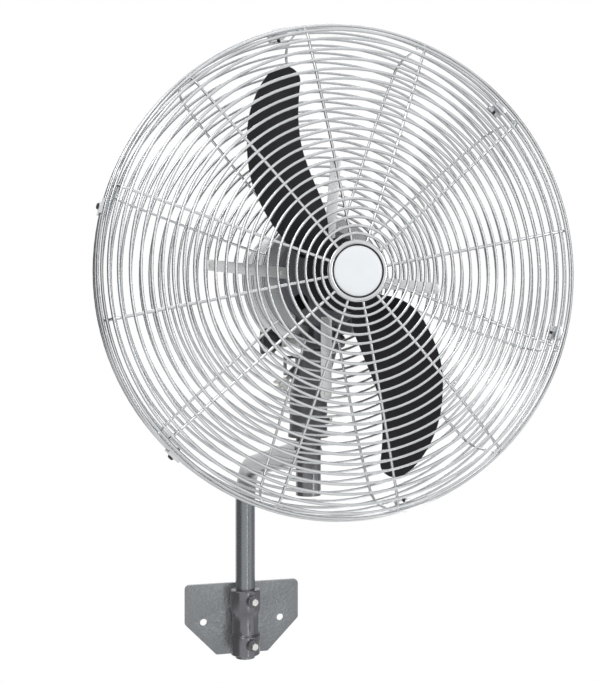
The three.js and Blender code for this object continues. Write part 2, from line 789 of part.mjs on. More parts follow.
function blade() {
  const across = 5;
  const loops = bladeStations.map(([radius, from, to, lead]) => {
    const spread = Math.min(1, Math.max(0, (radius - 68) / 40));
    const base = THREE.MathUtils.lerp(bladeSeat, bladeConcaveEdge, spread);
    const point = (i, side) => {
      const share = i / (across - 1);
      const angle = radians(THREE.MathUtils.lerp(from, to, share));
      const camber = 4 * bladeCamber * spread * share * (1 - share);
      return new THREE.Vector3(radius * Math.cos(angle),
        base - lead * share + camber + side * bladeThickness / 2, radius * Math.sin(angle));
    };
    const front = Array.from({ length: across }, (_, i) => point(i, -1));
    const back = Array.from({ length: across }, (_, i) => point(across - 1 - i, 1));
    return [...front, ...back];
  });
  return loft(loops);
}

function buildWheel() {
  add(fanGroup, 'blade_hub', turned([
    [shaftRadius + clearance, hubBossFront],
    [hubBossRadius, hubBossFront],
    [hubBossRadius, hubFace],
    [hubRadius, hubFace],
    [hubRadius, hubFace + hubThickness],
    [hubBossRadius + 3, hubFace + hubThickness],
    [hubBossRadius, hubFace + hubThickness + 5],
    [hubBossRadius, hubBossBack],
    [shaftRadius + clearance, hubBossBack],
  ], fineSides), finishes.bladeCharcoal);
  add(fanGroup, 'blade_upper', blade(), finishes.bladeCharcoal);
  add(fanGroup, 'blade_lower', blade().rotateY(Math.PI), finishes.bladeCharcoal);
  const nutBack = hubBossFront - clearance;
  add(fanGroup, 'hub_nut', cut(
    bar([0, nutBack - hubNutHeight, 0], [0, nutBack, 0], 15, 6),
    bar([0, nutBack - 30, 0], [0, nutBack + 5, 0], shaftRadius + clearance, roundSides),
  ), finishes.zinc);
  const shaftEnd = rearBearing + bearingWidth - 0.5;
  add(fanGroup, 'motor_shaft', turned([
    [0, shaftFront],
    [shaftRadius - 1.5, shaftFront],
    [shaftRadius, shaftFront + 1.5],
    [shaftRadius, shaftEnd],
    [0, shaftEnd],
  ]), finishes.zinc);
  add(fanGroup, 'rotor_core', ring(shaftRadius + clearance, coreBoreRadius - airGap, coreStart, coreEnd,
    fineSides), finishes.laminations);
}

// ---------------------------------------------------------------- wire guard
// One half of the guard as a single welded lattice. Each ring is [radius, along]; ribs cross every ring.
function lattice(rings) {
  const half = wire / 2;
  const lines = rings.flatMap(([radius, along], i) => {
    const before = rings[Math.max(0, i - 1)];
    const after = rings[Math.min(rings.length - 1, i + 1)];
    const tangent = new THREE.Vector2(after[0] - before[0], after[1] - before[1]).normalize();
    const normal = new THREE.Vector2(-tangent.y, tangent.x);
    const centre = new THREE.Vector2(radius, along);
    return [-half, half].map((offset) => [-half, half].map((lift) => centre.clone()
      .addScaledVector(tangent, offset).addScaledVector(normal, lift)));
  });
  const columnCount = 3 * ribCount;
  const positions = [];
  for (const pair of lines) {
    for (let column = 0; column < columnCount; column += 1) {
      const rib = Math.floor(column / 3);
      const place = column % 3;
      for (const { x: radius, y: along } of pair) {
        const ribEdge = Math.asin(half / radius);
        const middle = Math.PI / ribCount;
        const angle = radians(ribStart) + 2 * Math.PI * rib / ribCount
          + [-ribEdge, ribEdge, middle][place];
        positions.push(radius * Math.cos(angle), along, radius * Math.sin(angle));
      }
    }
  }
  const vertex = (line, column, side) => 2 * (line * columnCount + column % columnCount) + side;
  const index = [];
  const quad = (a, b, c, d) => index.push(a, b, c, a, c, d);
  for (let line = 0; line < lines.length; line += 1) {
    const onRing = line % 2 === 0;
    const opensOut = !onRing;
    for (let column = 0; column < columnCount; column += 1) {
      const isRib = column % 3 === 0;
      const next = column + 1;
      const last = line === lines.length - 1;
      if (!last && (onRing || isRib)) {
        quad(vertex(line, column, 0), vertex(line, next, 0),
          vertex(line + 1, next, 0), vertex(line + 1, column, 0));
        quad(vertex(line, column, 1), vertex(line + 1, column, 1),
          vertex(line + 1, next, 1), vertex(line, next, 1));
      }
      if (!last && !onRing && isRib) {
        quad(vertex(line, column, 0), vertex(line + 1, column, 0),
          vertex(line + 1, column, 1), vertex(line, column, 1));
        quad(vertex(line, next, 0), vertex(line, next, 1),
          vertex(line + 1, next, 1), vertex(line + 1, next, 0));
      }
      const edge = line === 0 || last;
      if (edge || !isRib) {
        const [near, far] = opensOut ? [0, 1] : [1, 0];
        quad(vertex(line, column, near), vertex(line, next, near),
          vertex(line, next, far), vertex(line, column, far));
      }
    }
  }
  const geometry = new THREE.BufferGeometry();
  geometry.setAttribute('position', new THREE.Float32BufferAttribute(positions, 3));
  geometry.setIndex(index);
  return cleaned(geometry);
}

function ringRadii(first) {
  const count = Math.floor((shoulderRadius - 14 - first) / ringSpacing) + 1;
  return Array.from({ length: count }, (_, i) => first + ringSpacing * i);
}

// The front is a shallow dome, the rear flat as far as the straps and then dished.
function frontAlong(radius) {
  const share = radius / 300;
  return -frontCrown + 12.2 * share ** 2 + 0.9 * share ** 6;
}

function rearAlong(radius) {
  const share = Math.max(0, radius - rearFlatRadius) / 130;
  return rearPlane - 14 * share ** 2;
}

// From the shoulder the wires turn over to the belt.
function shoulder(alongAtShoulder, direction) {
  const belt = direction * beltHalfWidth;
  const drop = alongAtShoulder - belt;
  const rim = guardRadius - wireCorner;
  return [
    [shoulderRadius + 0.3 * (rim - shoulderRadius), belt + drop * 0.87],
    [shoulderRadius + 0.8 * (rim - shoulderRadius), belt + drop * 0.5],
    [rim, belt],
  ];
}

function buildGuards() {
  const frontRadii = [frontInnerRing, ...ringRadii(rearInnerRing - ringSpacing / 3)];
  const front = frontRadii.map((radius) => [radius, frontAlong(radius)]);
  front.push(...shoulder(frontAlong(shoulderRadius), -1));
  add(fanGroup, 'front_guard', lattice(front), finishes.chrome);
  const rear = ringRadii(rearInnerRing).map((radius) => [radius, rearAlong(radius)]);
  rear.push(...shoulder(rearAlong(shoulderRadius), 1));
  add(fanGroup, 'rear_guard', lattice(rear), finishes.chrome);
}

function buildClips() {
  const plateIn = guardRadius + clearance;
  const wallIn = beltHalfWidth + wireCorner + clearance;
  const wallOut = wallIn + clipPlate;
  const foot = plateIn - clipDepth;
  const outline = [
    [foot, -wallOut], [plateIn + clipPlate, -wallOut], [plateIn + clipPlate, wallOut],
    [foot, wallOut], [foot, wallIn], [plateIn, wallIn],
    [plateIn, clipBlockHalf], [foot, clipBlockHalf], [foot, -clipBlockHalf],
    [plateIn, -clipBlockHalf], [plateIn, -wallIn], [foot, -wallIn],
  ];
  const shape = new THREE.Shape(outline.map(([radius, along]) => new THREE.Vector2(radius, along)));
  const clip = extruded(shape, clipWidth).translate(0, 0, -clipWidth / 2);
  const hole = bar([foot - 5, 0, 0], [plateIn + 10, 0, 0], clipScrewRadius + clearance);
  const body = cut(clip, hole);
  const head = plateIn + clipPlate + clearance;
  const screw = join(
    bar([head, 0, 0], [head + 3.5, 0, 0], 5, smallSides, 4),
    bar([foot - 4, 0, 0], [head + 2, 0, 0], clipScrewRadius),
  );
  for (let i = 0; i < clipCount; i += 1) {
    const turn = -radians(clipStart + 360 * i / clipCount);
    add(fanGroup, `guard_clip_${i + 1}`, body.clone().rotateY(turn), finishes.chrome);
    add(fanGroup, `clip_screw_${i + 1}`, screw.clone().rotateY(turn), finishes.blackPlastic);
  }
}

function buildCap() {
  const wireBack = frontAlong(frontInnerRing) + wire / 2;
  const plateFront = wireBack + clearance;
  add(fanGroup, 'cap_plate', turned([
    [0, plateFront],
    [capPlateRadius, plateFront],
    [capPlateRadius, plateFront + capPlateThickness],
    [0, plateFront + capPlateThickness],
  ], fineSides), finishes.chrome);
  const capBack = plateFront - clearance;
  add(fanGroup, 'front_cap', turned([
    [0, capBack - capHeight],
    [capRadius - 8, capBack - capHeight],
    [capRadius - 2, capBack - capHeight + 1.5],
    [capRadius, capBack - capHeight + 4],
    [capRadius, capBack],
    [0, capBack],
  ], fineSides), finishes.capWhite);
}

// ---------------------------------------------------------------- guard spider
function strapShape() {
  const half = strapWidth / 2;
  const inner = spiderHole + 4;
  return new THREE.Shape([
    new THREE.Vector2(inner, -half),
    ...arcPoints(strapReach - half, 0, half, -90, 90, 8),
    new THREE.Vector2(inner, half),
  ]);
}

function buildSpider() {
  const back = bellFace - clearance;
  const front = back - strapThickness;
  const centre = ring(spiderHole, spiderRing, front, back, fineSides);
  const straps = strapAngles.map(
    (angle) => flat(strapShape(), front, strapThickness).rotateY(-radians(angle)));
  const clampPlaces = places(strapClampCircle, strapAngles);
  add(fanGroup, 'guard_spider', cut(join(centre, ...straps),
    ...through([...spiderScrewPlaces, ...clampPlaces], spiderScrewRadius + clearance, front,
      strapThickness),
    ...through(ventPlaces, ventRadius, front, strapThickness)), finishes.strapGrey);
  const forward = new THREE.Vector3(0, -1, 0);
  spiderScrewPlaces.forEach(([x, z], i) => {
    add(fanGroup, `spider_screw_${i + 1}`, bolt([x, front - clearance, z], forward, 5, 3.5,
      spiderScrewRadius, strapThickness + 8), finishes.zinc);
  });
  const washerFront = rearPlane + wire / 2 + clearance;
  clampPlaces.forEach(([x, z], i) => {
    add(fanGroup, `strap_clamp_${i + 1}`, join(
      bar([x, front - clearance - 3.5, z], [x, front - clearance, z], 5, 6),
      bar([x, front - clearance - 2, z], [x, washerFront + 1, z], spiderScrewRadius),
      bar([x, washerFront, z], [x, washerFront + 2, z], clampWasherRadius, roundSides),
    ), finishes.zinc);
  });
}

buildWallBracket();
buildArm();
buildCollar();
buildNeck();
buildTiltJoint();
buildPanLock();
buildMotor();
buildWheel();
buildGuards();
buildClips();
buildCap();
buildSpider();

const fan = new THREE.Group();
fan.add(wallGroup, fanGroup);
export default fan;
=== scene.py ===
"""Looks of an industrial wall fan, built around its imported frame.

The frame holds the real sizes, the bodies and the joints. Each class here models one sub-assembly
in millimetres, gives its pieces their finishes and puts them in place of the plain nodes that they
stand for.
"""
import logging
from dataclasses import dataclass, field
from enum import Enum
from functools import lru_cache
from math import copysign, cos, pi, radians, sin, sqrt, tan
from typing import Any, Sequence

import bpy
from mathutils import Matrix, Vector


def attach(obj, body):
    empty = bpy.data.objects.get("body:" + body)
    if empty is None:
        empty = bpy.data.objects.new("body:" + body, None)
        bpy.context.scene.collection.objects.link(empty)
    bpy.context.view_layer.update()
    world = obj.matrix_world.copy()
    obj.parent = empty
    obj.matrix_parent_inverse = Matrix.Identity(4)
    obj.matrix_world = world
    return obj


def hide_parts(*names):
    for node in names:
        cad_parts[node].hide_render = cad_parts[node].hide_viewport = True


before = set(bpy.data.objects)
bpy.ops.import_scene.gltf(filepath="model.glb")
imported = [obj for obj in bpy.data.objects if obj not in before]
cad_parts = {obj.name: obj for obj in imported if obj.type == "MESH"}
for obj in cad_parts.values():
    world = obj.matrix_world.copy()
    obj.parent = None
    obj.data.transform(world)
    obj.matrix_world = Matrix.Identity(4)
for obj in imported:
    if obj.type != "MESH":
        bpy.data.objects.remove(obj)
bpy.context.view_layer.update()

LOG = logging.getLogger("wall_fan")
MILLIMETRE = 0.001
FULL_TURN = 2 * pi
WALL_BASE = Vector((0, 0, 0))
FAN_BASE = Vector((0, -0.760, 0.732))
CLEARANCE = 0.3
DOUBLES = 0.005
WASHER = 1.6
WHITE = (1, 1, 1, 1)
COLUMN_BACK = 196
TILT_BACK = 116
TILT_DROP = 104
VENT_CIRCLE = 58
VENT_RADIUS = 13
VENT_ANGLES = (43, 131, 223, 313)
Point = Sequence[float]
Piece = bpy.types.Object


class Axis(Enum):
    """An axis that a profile is turned about."""

    X = (1, 0, 0)
    Y = (0, 1, 0)
    Z = (0, 0, 1)

    def spot(self, radius: float, along: float) -> Vector:
        """The point of a profile at a radius from this axis and a distance along it."""
        return {
            Axis.X: Vector((along, radius, 0)),
            Axis.Y: Vector((radius, along, 0)),
            Axis.Z: Vector((radius, 0, along)),
        }[self]


class Body(Enum):
    """The moving bodies of the frame."""

    BRACKET = "bracket"
    ARM = "arm"
    NECK = "neck"
    TILT_KNOB = "tilt_knob"
    PAN_LOCK = "pan_lock"
    HEAD = "head"
    ROTOR = "rotor"


class Side(Enum):
    """The two halves of the guard, with the way each one faces along the fan's axis."""

    FRONT = -1
    REAR = 1


# ---------------------------------------------------------------------------- shader graphs
class Field:
    """A value that varies over a surface, used in ordinary arithmetic."""

    def __init__(self, graph: "Graph", socket: Any) -> None:
        """Keeps the socket that gives the value and the graph it belongs to."""
        self.graph = graph
        self.socket = socket

    def _with(self, operation: str, first: Any, second: Any) -> "Field":
        """A Math node on two values."""
        return self.graph.node("ShaderNodeMath", {"operation": operation}, {0: first, 1: second})

    def __add__(self, other: Any) -> "Field":
        """This value plus another."""
        return self._with("ADD", self, other)

    def __sub__(self, other: Any) -> "Field":
        """This value less another."""
        return self._with("SUBTRACT", self, other)

    def __rsub__(self, other: Any) -> "Field":
        """Another value less this one."""
        return self._with("SUBTRACT", other, self)

    def __mul__(self, other: Any) -> "Field":
        """This value times another."""
        return self._with("MULTIPLY", self, other)

    __radd__ = __add__
    __rmul__ = __mul__


class Graph:
    """The node tree of one material, or of the world."""

    def __init__(self, name: str, store: Any = None) -> None:
        """Starts an empty material of that name, or a new member of another store."""
        self.owner = (bpy.data.materials if store is None else store).new(name)
        self.owner.use_nodes = True
        self.tree = self.owner.node_tree
        self.tree.nodes.clear()

    def node(self, kind: str, settings: dict | None = None, sockets: dict | None = None,
             out: int | str = 0) -> Field:
        """Adds a node.

        Args:
            kind: The node's type.
            settings: Its own properties, set first; stops are those of a colour ramp.
            sockets: Values or fields for its inputs.
            out: The number or name of the output that is returned.

        Returns:
            The chosen output.
        """
        made = self.tree.nodes.new(kind)
        for key, value in (settings or {}).items():
            if key == "stops":
                self._set_stops(made.color_ramp, value)
            else:
                setattr(made, key, value)
        for key, value in (sockets or {}).items():
            target = made.inputs[key]
            if isinstance(value, Field):
                self.tree.links.new(value.socket, target)
            else:
                target.default_value = value
        return Field(self, made.outputs[out] if made.outputs else None)

    @staticmethod
    def _set_stops(ramp: bpy.types.ColorRamp, stops: Sequence[tuple]) -> None:
        """Gives a colour ramp its (place, grey) stops."""
        while len(ramp.elements) < len(stops):
            ramp.elements.new(1)
        for element, (place, grey) in zip(ramp.elements, stops):
            element.position = place
            element.color = (grey, grey, grey, 1)

    def place(self) -> Field:
        """Object coordinates, in metres."""
        return self.node("ShaderNodeTexCoord", out="Object")

    def noise(self, place: Field, scale: float, detail: float = 2) -> Field:
        """Noise between 0 and 1, with about scale spots to the metre."""
        return self.node("ShaderNodeTexNoise", {}, {
            "Vector": place, "Scale": scale, "Detail": detail})

    def ramp(self, value: Field, stops: Sequence[tuple]) -> Field:
        """A value taken through a grey ramp."""
        return self.node("ShaderNodeValToRGB", {"stops": stops}, {"Fac": value})

    def blend(self, share: Field, first: tuple, second: tuple) -> Field:
        """A colour between two others."""
        return self.node("ShaderNodeMix", {"data_type": "RGBA"}, {
            0: share, 6: first, 7: second}, out=2)

    def relief(self, height: Field, strength: float, distance: float) -> Field:
        """The normal of a surface with a small relief.

        Args:
            height: The relief, from 0 to 1.
            strength: How much of it shows.
            distance: Its depth in metres.

        Returns:
            The normal.
        """
        return self.node("ShaderNodeBump", {}, {
            "Strength": strength, "Distance": distance, "Height": height})

    def shown(self, surface: Field, output: str = "ShaderNodeOutputMaterial") -> Any:
        """Closes the graph with its output node, and returns what it belongs to."""
        self.node(output, {}, {"Surface": surface})
        return self.owner

    def finished(self, sockets: dict) -> bpy.types.Material:
        """Closes the graph with a surface shader that has these sockets."""
        return self.shown(self.node("ShaderNodeBsdfPrincipled", {}, sockets))


def tint(red: int, green: int, blue: int) -> tuple:
    """A colour as it looks on a screen, from 0 to 255, made linear."""
    def linear(value: int) -> float:
        """One channel."""
        share = value / 255
        return share / 12.92 if share <= 0.04045 else ((share + 0.055) / 1.055) ** 2.4

    return (linear(red), linear(green), linear(blue), 1)


def shaded(colour: tuple, factor: float) -> tuple:
    """The same colour, lighter or darker."""
    return tuple(min(1, channel * factor) for channel in colour[:3]) + (1,)


# ---------------------------------------------------------------------------- finishes
@dataclass(frozen=True)
class Enamel:
    """Sprayed or stoved paint, from smooth to hammered or cast.

    Attributes:
        slot: The record's material slot.
        colour: Its colour.
        roughness: How matt it is.
        grain: Spots of relief to the metre.
        depth: Depth of the relief in metres.
        mottle: How much the colour varies.
        coat: Share of clear gloss on top.
        shine: How strongly the bare paint reflects.
        flake: Share of metal in the paint.
    """

    slot: str
    colour: tuple
    roughness: float = 0.45
    grain: float = 300
    depth: float = 0.0002
    mottle: float = 0.1
    coat: float = 0
    shine: float = 0.5
    flake: float = 0

    @lru_cache(maxsize=None)
    def material(self) -> bpy.types.Material:
        """The finish as a material."""
        graph = Graph(f"{self.slot}_enamel")
        place = graph.place()
        grain = graph.noise(place, self.grain, 3)
        cloud = graph.noise(place, self.grain / 18, 4)
        pits = graph.ramp(grain, [(0.35, 0), (0.62, 1)])
        share = graph.ramp(cloud * 0.55 + grain * 0.45, [(0.38, 0), (0.62, 1)])
        return graph.finished({
            "Base Color": graph.blend(share, shaded(self.colour, 1 - self.mottle),
                                      shaded(self.colour, 1 + self.mottle)),
            "Roughness": pits * -0.12 + cloud * 0.1 + self.roughness,
            "Metallic": self.flake,
            "Specular IOR Level": self.shine,
            "Coat Weight": self.coat,
            "Coat Roughness": 0.2,
            "Normal": graph.relief(pits, 0.5, self.depth),
        })


@dataclass(frozen=True)
class Plated:
    """Chrome, zinc or bare steel with fine drawn lines and a little handling wear.

    Attributes:
        slot: The record's material slot.
        colour: The colour of its reflections.
        roughness: How satin it is.
        lines: Fine lines to the metre.
        tarnish: How much darker its dull places are.
    """

    slot: str
    colour: tuple
    roughness: float = 0.2
    lines: float = 900
    tarnish: float = 0.12

    @lru_cache(maxsize=None)
    def material(self) -> bpy.types.Material:
        """The finish as a material."""
        graph = Graph(f"{self.slot}_plating")
        place = graph.place()
        fine = graph.noise(place, self.lines, 2)
        dull = graph.ramp(graph.noise(place, self.lines / 40, 4), [(0.45, 0), (0.75, 1)])
        return graph.finished({
            "Base Color": graph.blend(dull, self.colour, shaded(self.colour, 1 - self.tarnish)),
            "Roughness": fine * 0.08 + dull * 0.1 + self.roughness,
            "Metallic": 1,
            "Normal": graph.relief(fine, 0.25, 0.00003),
        })


@dataclass(frozen=True)
class Moulded:
    """Plain moulded plastic with a fine grain.

    Attributes:
        slot: The record's material slot.
        colour: Its colour.
        roughness: How matt it is.
        depth: Depth of the grain in metres.
    """

    slot: str
    colour: tuple
    roughness: float = 0.5
    depth: float = 0.00006

    @lru_cache(maxsize=None)
    def material(self) -> bpy.types.Material:
        """The finish as a material."""
        graph = Graph(f"{self.slot}_moulding")
        place = graph.place()
        grain = graph.noise(place, 1400, 2)
        haze = graph.noise(place, 30, 3)
        return graph.finished({
            "Base Color": graph.blend(haze, shaded(self.colour, 0.95), shaded(self.colour, 1.04)),
            "Roughness": haze * 0.1 + self.roughness,
            "Normal": graph.relief(grain, 0.3, self.depth),
        })


@dataclass(frozen=True)
class Layered:
    """Stacked sheets or wound wire: fine bands along the fan's axis.

    Attributes:
        slot: The record's material slot.
        colour: Its colour.
        bands: Bands to the metre.
        roughness: How matt it is.
    """

    slot: str
    colour: tuple
    bands: float
    roughness: float = 0.45

    @lru_cache(maxsize=None)
    def material(self) -> bpy.types.Material:
        """The finish as a material."""
        graph = Graph(f"{self.slot}_layers")
        place = graph.place()
        bands = graph.node("ShaderNodeTexWave", {"wave_type": "BANDS", "bands_direction": "Y"}, {
            "Vector": place, "Scale": self.bands, "Distortion": 0.4}, out=1)
        stain = graph.noise(place, 60, 3)
        return graph.finished({
            "Base Color": graph.blend(bands * 0.7 + stain * 0.3, shaded(self.colour, 0.6),
                                      shaded(self.colour, 1.15)),
            "Roughness": stain * 0.2 + self.roughness,
            "Metallic": 0.85,
            "Normal": graph.relief(bands, 0.5, 0.0002),
        })


HAMMERED_GREY = Enamel("hammered_grey", tint(132, 135, 138), roughness=0.34, grain=160,
                       depth=0.0006, mottle=0.08, coat=0.1, flake=0.5)
PIPE_GREY = Enamel("hammered_grey", tint(128, 131, 134), roughness=0.26, grain=420,
                   depth=0.0001, mottle=0.05, coat=0.2, flake=0.7)
# A darker copy of the same hammered grey paint: painted shade on the round sleeve and its collars,
# used too for the weld beads and the spigot tube.
SHADED_HAMMERED_GREY = Enamel("hammered_grey", tint(112, 111, 116), roughness=0.22, grain=380,
                     depth=0.0001, mottle=0.08, coat=0.35, flake=0.6)
CASTING_GREY = Enamel("dark_casting", tint(98, 98, 102), roughness=0.42, grain=480,
                      depth=0.0003, mottle=0.12, shine=0.3, flake=0.3)
NOSE_GREY = Enamel("dark_casting", tint(102, 102, 107), grain=480, depth=0.0003, shine=0.3,
                   flake=0.2)
MOTOR_GREY = Enamel("motor_grey", tint(174, 176, 177), roughness=0.32, grain=600,
                    depth=0.0001, mottle=0.05, coat=0.1, flake=0.5)
STRAP_GREY = Enamel("strap_grey", tint(236, 237, 238), roughness=0.34, grain=700,
                    depth=0.00005, mottle=0.03, coat=0.1, flake=0.45)
CHARCOAL = Enamel("blade_charcoal", tint(41, 40, 44), roughness=0.4, grain=700,
                  depth=0.00008, mottle=0.08, shine=0.15)
CHROME = Plated("chrome", tint(212, 214, 216), roughness=0.14, tarnish=0.1)
ZINC = Plated("zinc", tint(224, 224, 221), roughness=0.3, lines=1100, tarnish=0.15)
BLACK_PLASTIC = Moulded("black_plastic", tint(42, 42, 44))
WHITE_CAP = Moulded("cap_white", tint(240, 243, 246), roughness=0.35, depth=0.00002)
LAMINATIONS = Layered("laminations", tint(120, 120, 118), bands=1000)
COPPER = Layered("copper", tint(172, 106, 66), bands=700, roughness=0.35)
Finish = Enamel | Plated | Moulded | Layered


# ---------------------------------------------------------------------------- modelling
# Each of these shapes one mesh at a time with Blender's own operators, in millimetres.


def clear() -> None:
    """Leaves edit mode and deselects everything."""
    active = bpy.context.view_layer.objects.active
    if active is not None and active.mode != "OBJECT":
        bpy.ops.object.mode_set(mode="OBJECT")
    bpy.ops.object.select_all(action="DESELECT")


def pick(piece: Piece, *others: Piece) -> Piece:
    """Selects these pieces only, with the first one active."""
    clear()
    for each in (piece, *others):
        each.select_set(True)
    bpy.context.view_layer.objects.active = piece
    return piece


def edit(piece: Piece) -> None:
    """Opens a piece for editing with all of its mesh selected."""
    pick(piece)
    bpy.ops.object.mode_set(mode="EDIT")
    bpy.ops.mesh.select_all(action="SELECT")


def close(piece: Piece) -> Piece:
    """Merges doubles, turns the faces outward and leaves edit mode."""
    bpy.ops.mesh.select_all(action="SELECT")
    bpy.ops.mesh.remove_doubles(threshold=DOUBLES)
    bpy.ops.mesh.normals_make_consistent(inside=False)
    bpy.ops.object.mode_set(mode="OBJECT")
    return piece


def applied(piece: Piece) -> Piece:
    """Moves a piece's place, turn and size into its mesh."""
    pick(piece)
    bpy.ops.object.transform_apply(location=True, rotation=True, scale=True)
    return piece


def moved(piece: Piece, spot: Point) -> Piece:
    """Carries a piece to a spot."""
    piece.location = spot
    return applied(piece)


def aimed(piece: Piece, spot: Point, direction: Point) -> Piece:
    """Carries a piece to a spot and turns its Z axis to a direction."""
    piece.rotation_euler = Vector(direction).to_track_quat("Z", "Y").to_euler()
    return moved(piece, spot)


def chain(spots: Sequence[Point]) -> Piece:
    """A chain of edges, extruded from one vertex to the next.

    Args:
        spots: The points it passes through.

    Returns:
        The chain as an open mesh.
    """
    clear()
    points = [Vector(spot) for spot in spots]
    bpy.ops.mesh.primitive_plane_add(size=1, location=points[0])
    piece = bpy.context.active_object
    bpy.ops.object.mode_set(mode="EDIT")
    bpy.ops.mesh.select_all(action="SELECT")
    bpy.ops.mesh.merge(type="CENTER")
    for here, there in zip(points, points[1:]):
        bpy.ops.mesh.extrude_region_move(TRANSFORM_OT_translate={"value": there - here})
    bpy.ops.object.mode_set(mode="OBJECT")
    return applied(piece)


def prism(outline: Sequence[Point], travel: Point) -> Piece:
    """A flat outline filled and extruded.

    Args:
        outline: The corners, without the first one again at the end.
        travel: How far the face is carried.

    Returns:
        The closed solid.
    """
    piece = chain([*outline, outline[0]])
    edit(piece)
    bpy.ops.mesh.remove_doubles(threshold=DOUBLES)
    bpy.ops.mesh.edge_face_add()
    bpy.ops.mesh.extrude_region_move(TRANSFORM_OT_translate={"value": Vector(travel)})
    return close(piece)


def turned(profile: Sequence[tuple], axis: Axis, steps: int = 64) -> Piece:
    """A profile spun about an axis.

    Args:
        profile: Points of (radius, along); one that leaves the axis closes on itself.
        axis: The axis of the spin.
        steps: Facets round the axis.

    Returns:
        The closed solid.
    """
    spots = [axis.spot(radius, along) for radius, along in profile]
    if profile[0][0] > 0:
        spots.append(spots[0])
    piece = chain(spots)
    edit(piece)
    bpy.ops.mesh.spin(steps=steps, angle=FULL_TURN, center=(0, 0, 0), axis=axis.value)
    return close(piece)


def rod(start: Point, end: Point, radius: float, sides: int = 32,
        far_radius: float | None = None) -> Piece:
    """A straight round bar between two points, or a cone with another radius at its end."""
    clear()
    first, last = Vector(start), Vector(end)
    run = last - first
    bpy.ops.mesh.primitive_cone_add(
        vertices=sides, radius1=radius, radius2=radius if far_radius is None else far_radius,
        depth=run.length, location=(first + last) / 2,
        rotation=run.to_track_quat("Z", "Y").to_euler())
    return applied(bpy.context.active_object)


def block(low: Point, high: Point) -> Piece:
    """A box between two corners, to be shaped further."""
    clear()
    near, far = Vector(low), Vector(high)
    bpy.ops.mesh.primitive_cube_add(size=1, location=(near + far) / 2, scale=far - near)
    return applied(bpy.context.active_object)


def swept(spots: Sequence[Point], radius: float, sides: int = 8, closed: bool = False) -> Piece:
    """A round wire or pipe along a line.

    Args:
        spots: The points of its centre line.
        radius: Its radius.
        sides: Its facets, an even number.
        closed: Whether it joins up with itself.

    Returns:
        The wire as a closed mesh.
    """
    clear()
    bpy.ops.curve.primitive_nurbs_path_add()
    path = bpy.context.active_object
    path.data.splines.clear()
    line = path.data.splines.new("POLY")
    line.points.add(len(spots) - 1)
    for point, spot in zip(line.points, spots):
        point.co = (*spot, 1)
    line.use_cyclic_u = closed
    path.data.dimensions = "3D"
    path.data.bevel_depth = radius
    path.data.bevel_resolution = (sides - 4) // 2
    path.data.use_fill_caps = not closed
    bpy.ops.object.convert(target="MESH")
    piece = bpy.context.active_object
    edit(piece)
    return close(piece)


def hoop(radius: float, along: float, wire: float, steps: int = 112, sides: int = 8) -> Piece:
    """A ring of round wire about the fan's axis."""
    clear()
    bpy.ops.mesh.primitive_torus_add(
        location=(0, along, 0), rotation=(pi / 2, 0, 0),
        major_radius=radius, minor_radius=wire, major_segments=steps, minor_segments=sides)
    return applied(bpy.context.active_object)


def modified(piece: Piece, kind: str, **settings: Any) -> Piece:
    """Adds a modifier with these settings and applies it."""
    pick(piece)
    bpy.ops.object.modifier_add(type=kind)
    modifier = piece.modifiers[-1]
    for key, value in settings.items():
        setattr(modifier, key, value)
    bpy.ops.object.modifier_apply(modifier=modifier.name)
    return piece


def eased(piece: Piece, width: float, segments: int = 3, angle: float = 35) -> Piece:
    """Rounds the edges that are sharper than an angle."""
    return modified(
        piece, "BEVEL", width=width, segments=segments, limit_method="ANGLE",
        angle_limit=radians(angle), miter_outer="MITER_SHARP", use_clamp_overlap=True)


def merged(piece: Piece, operation: str, tools: Sequence[Piece]) -> Piece:
    """Cuts tools from a piece or adds them to it, and removes the tools."""
    for tool in tools:
        modified(piece, "BOOLEAN", operation=operation, solver="MANIFOLD", object=tool)
        bpy.data.objects.remove(tool)
    return piece


def cut(piece: Piece, *tools: Piece) -> Piece:
    """A piece less its tools."""
    return merged(piece, "DIFFERENCE", tools)


def fused(piece: Piece, *others: Piece) -> Piece:
    """Pieces made one solid."""
    return merged(piece, "UNION", others)


def joined(piece: Piece, *others: Piece) -> Piece:
    """Pieces kept as separate shells of one mesh."""
    pick(piece, *others)
    bpy.ops.object.join()
    return piece


def copied(piece: Piece, move: Matrix) -> Piece:
    """A copy with its own mesh, moved by a matrix."""
    pick(piece)
    bpy.ops.object.duplicate(linked=False)
    twin = bpy.context.active_object
    twin.matrix_world = move
    return applied(twin)


def around(piece: Piece, angles: Sequence[float]) -> list:
    """Copies of a piece turned about the fan's axis, anticlockwise seen from in front.

    Args:
        piece: The piece at angle 0, which is removed.
        angles: The angles of the copies, in degrees.

    Returns:
        The copies.
    """
    twins = [copied(piece, Matrix.Rotation(-radians(angle), 4, "Y")) for angle in angles]
    bpy.data.objects.remove(piece)
    return twins


def polar(radius: float, angle: float, along: float = 0) -> Vector:
    """A point about the fan's axis: degrees anticlockwise from the right, seen from in front."""
    turn = radians(angle)
    return Vector((radius * cos(turn), along, radius * sin(turn)))


def vents(low: float, high: float) -> list:
    """Cutters for the four round vents, between two distances along the fan's axis."""
    return [rod(polar(VENT_CIRCLE, angle, low), polar(VENT_CIRCLE, angle, high),
                VENT_RADIUS, 40) for angle in VENT_ANGLES]


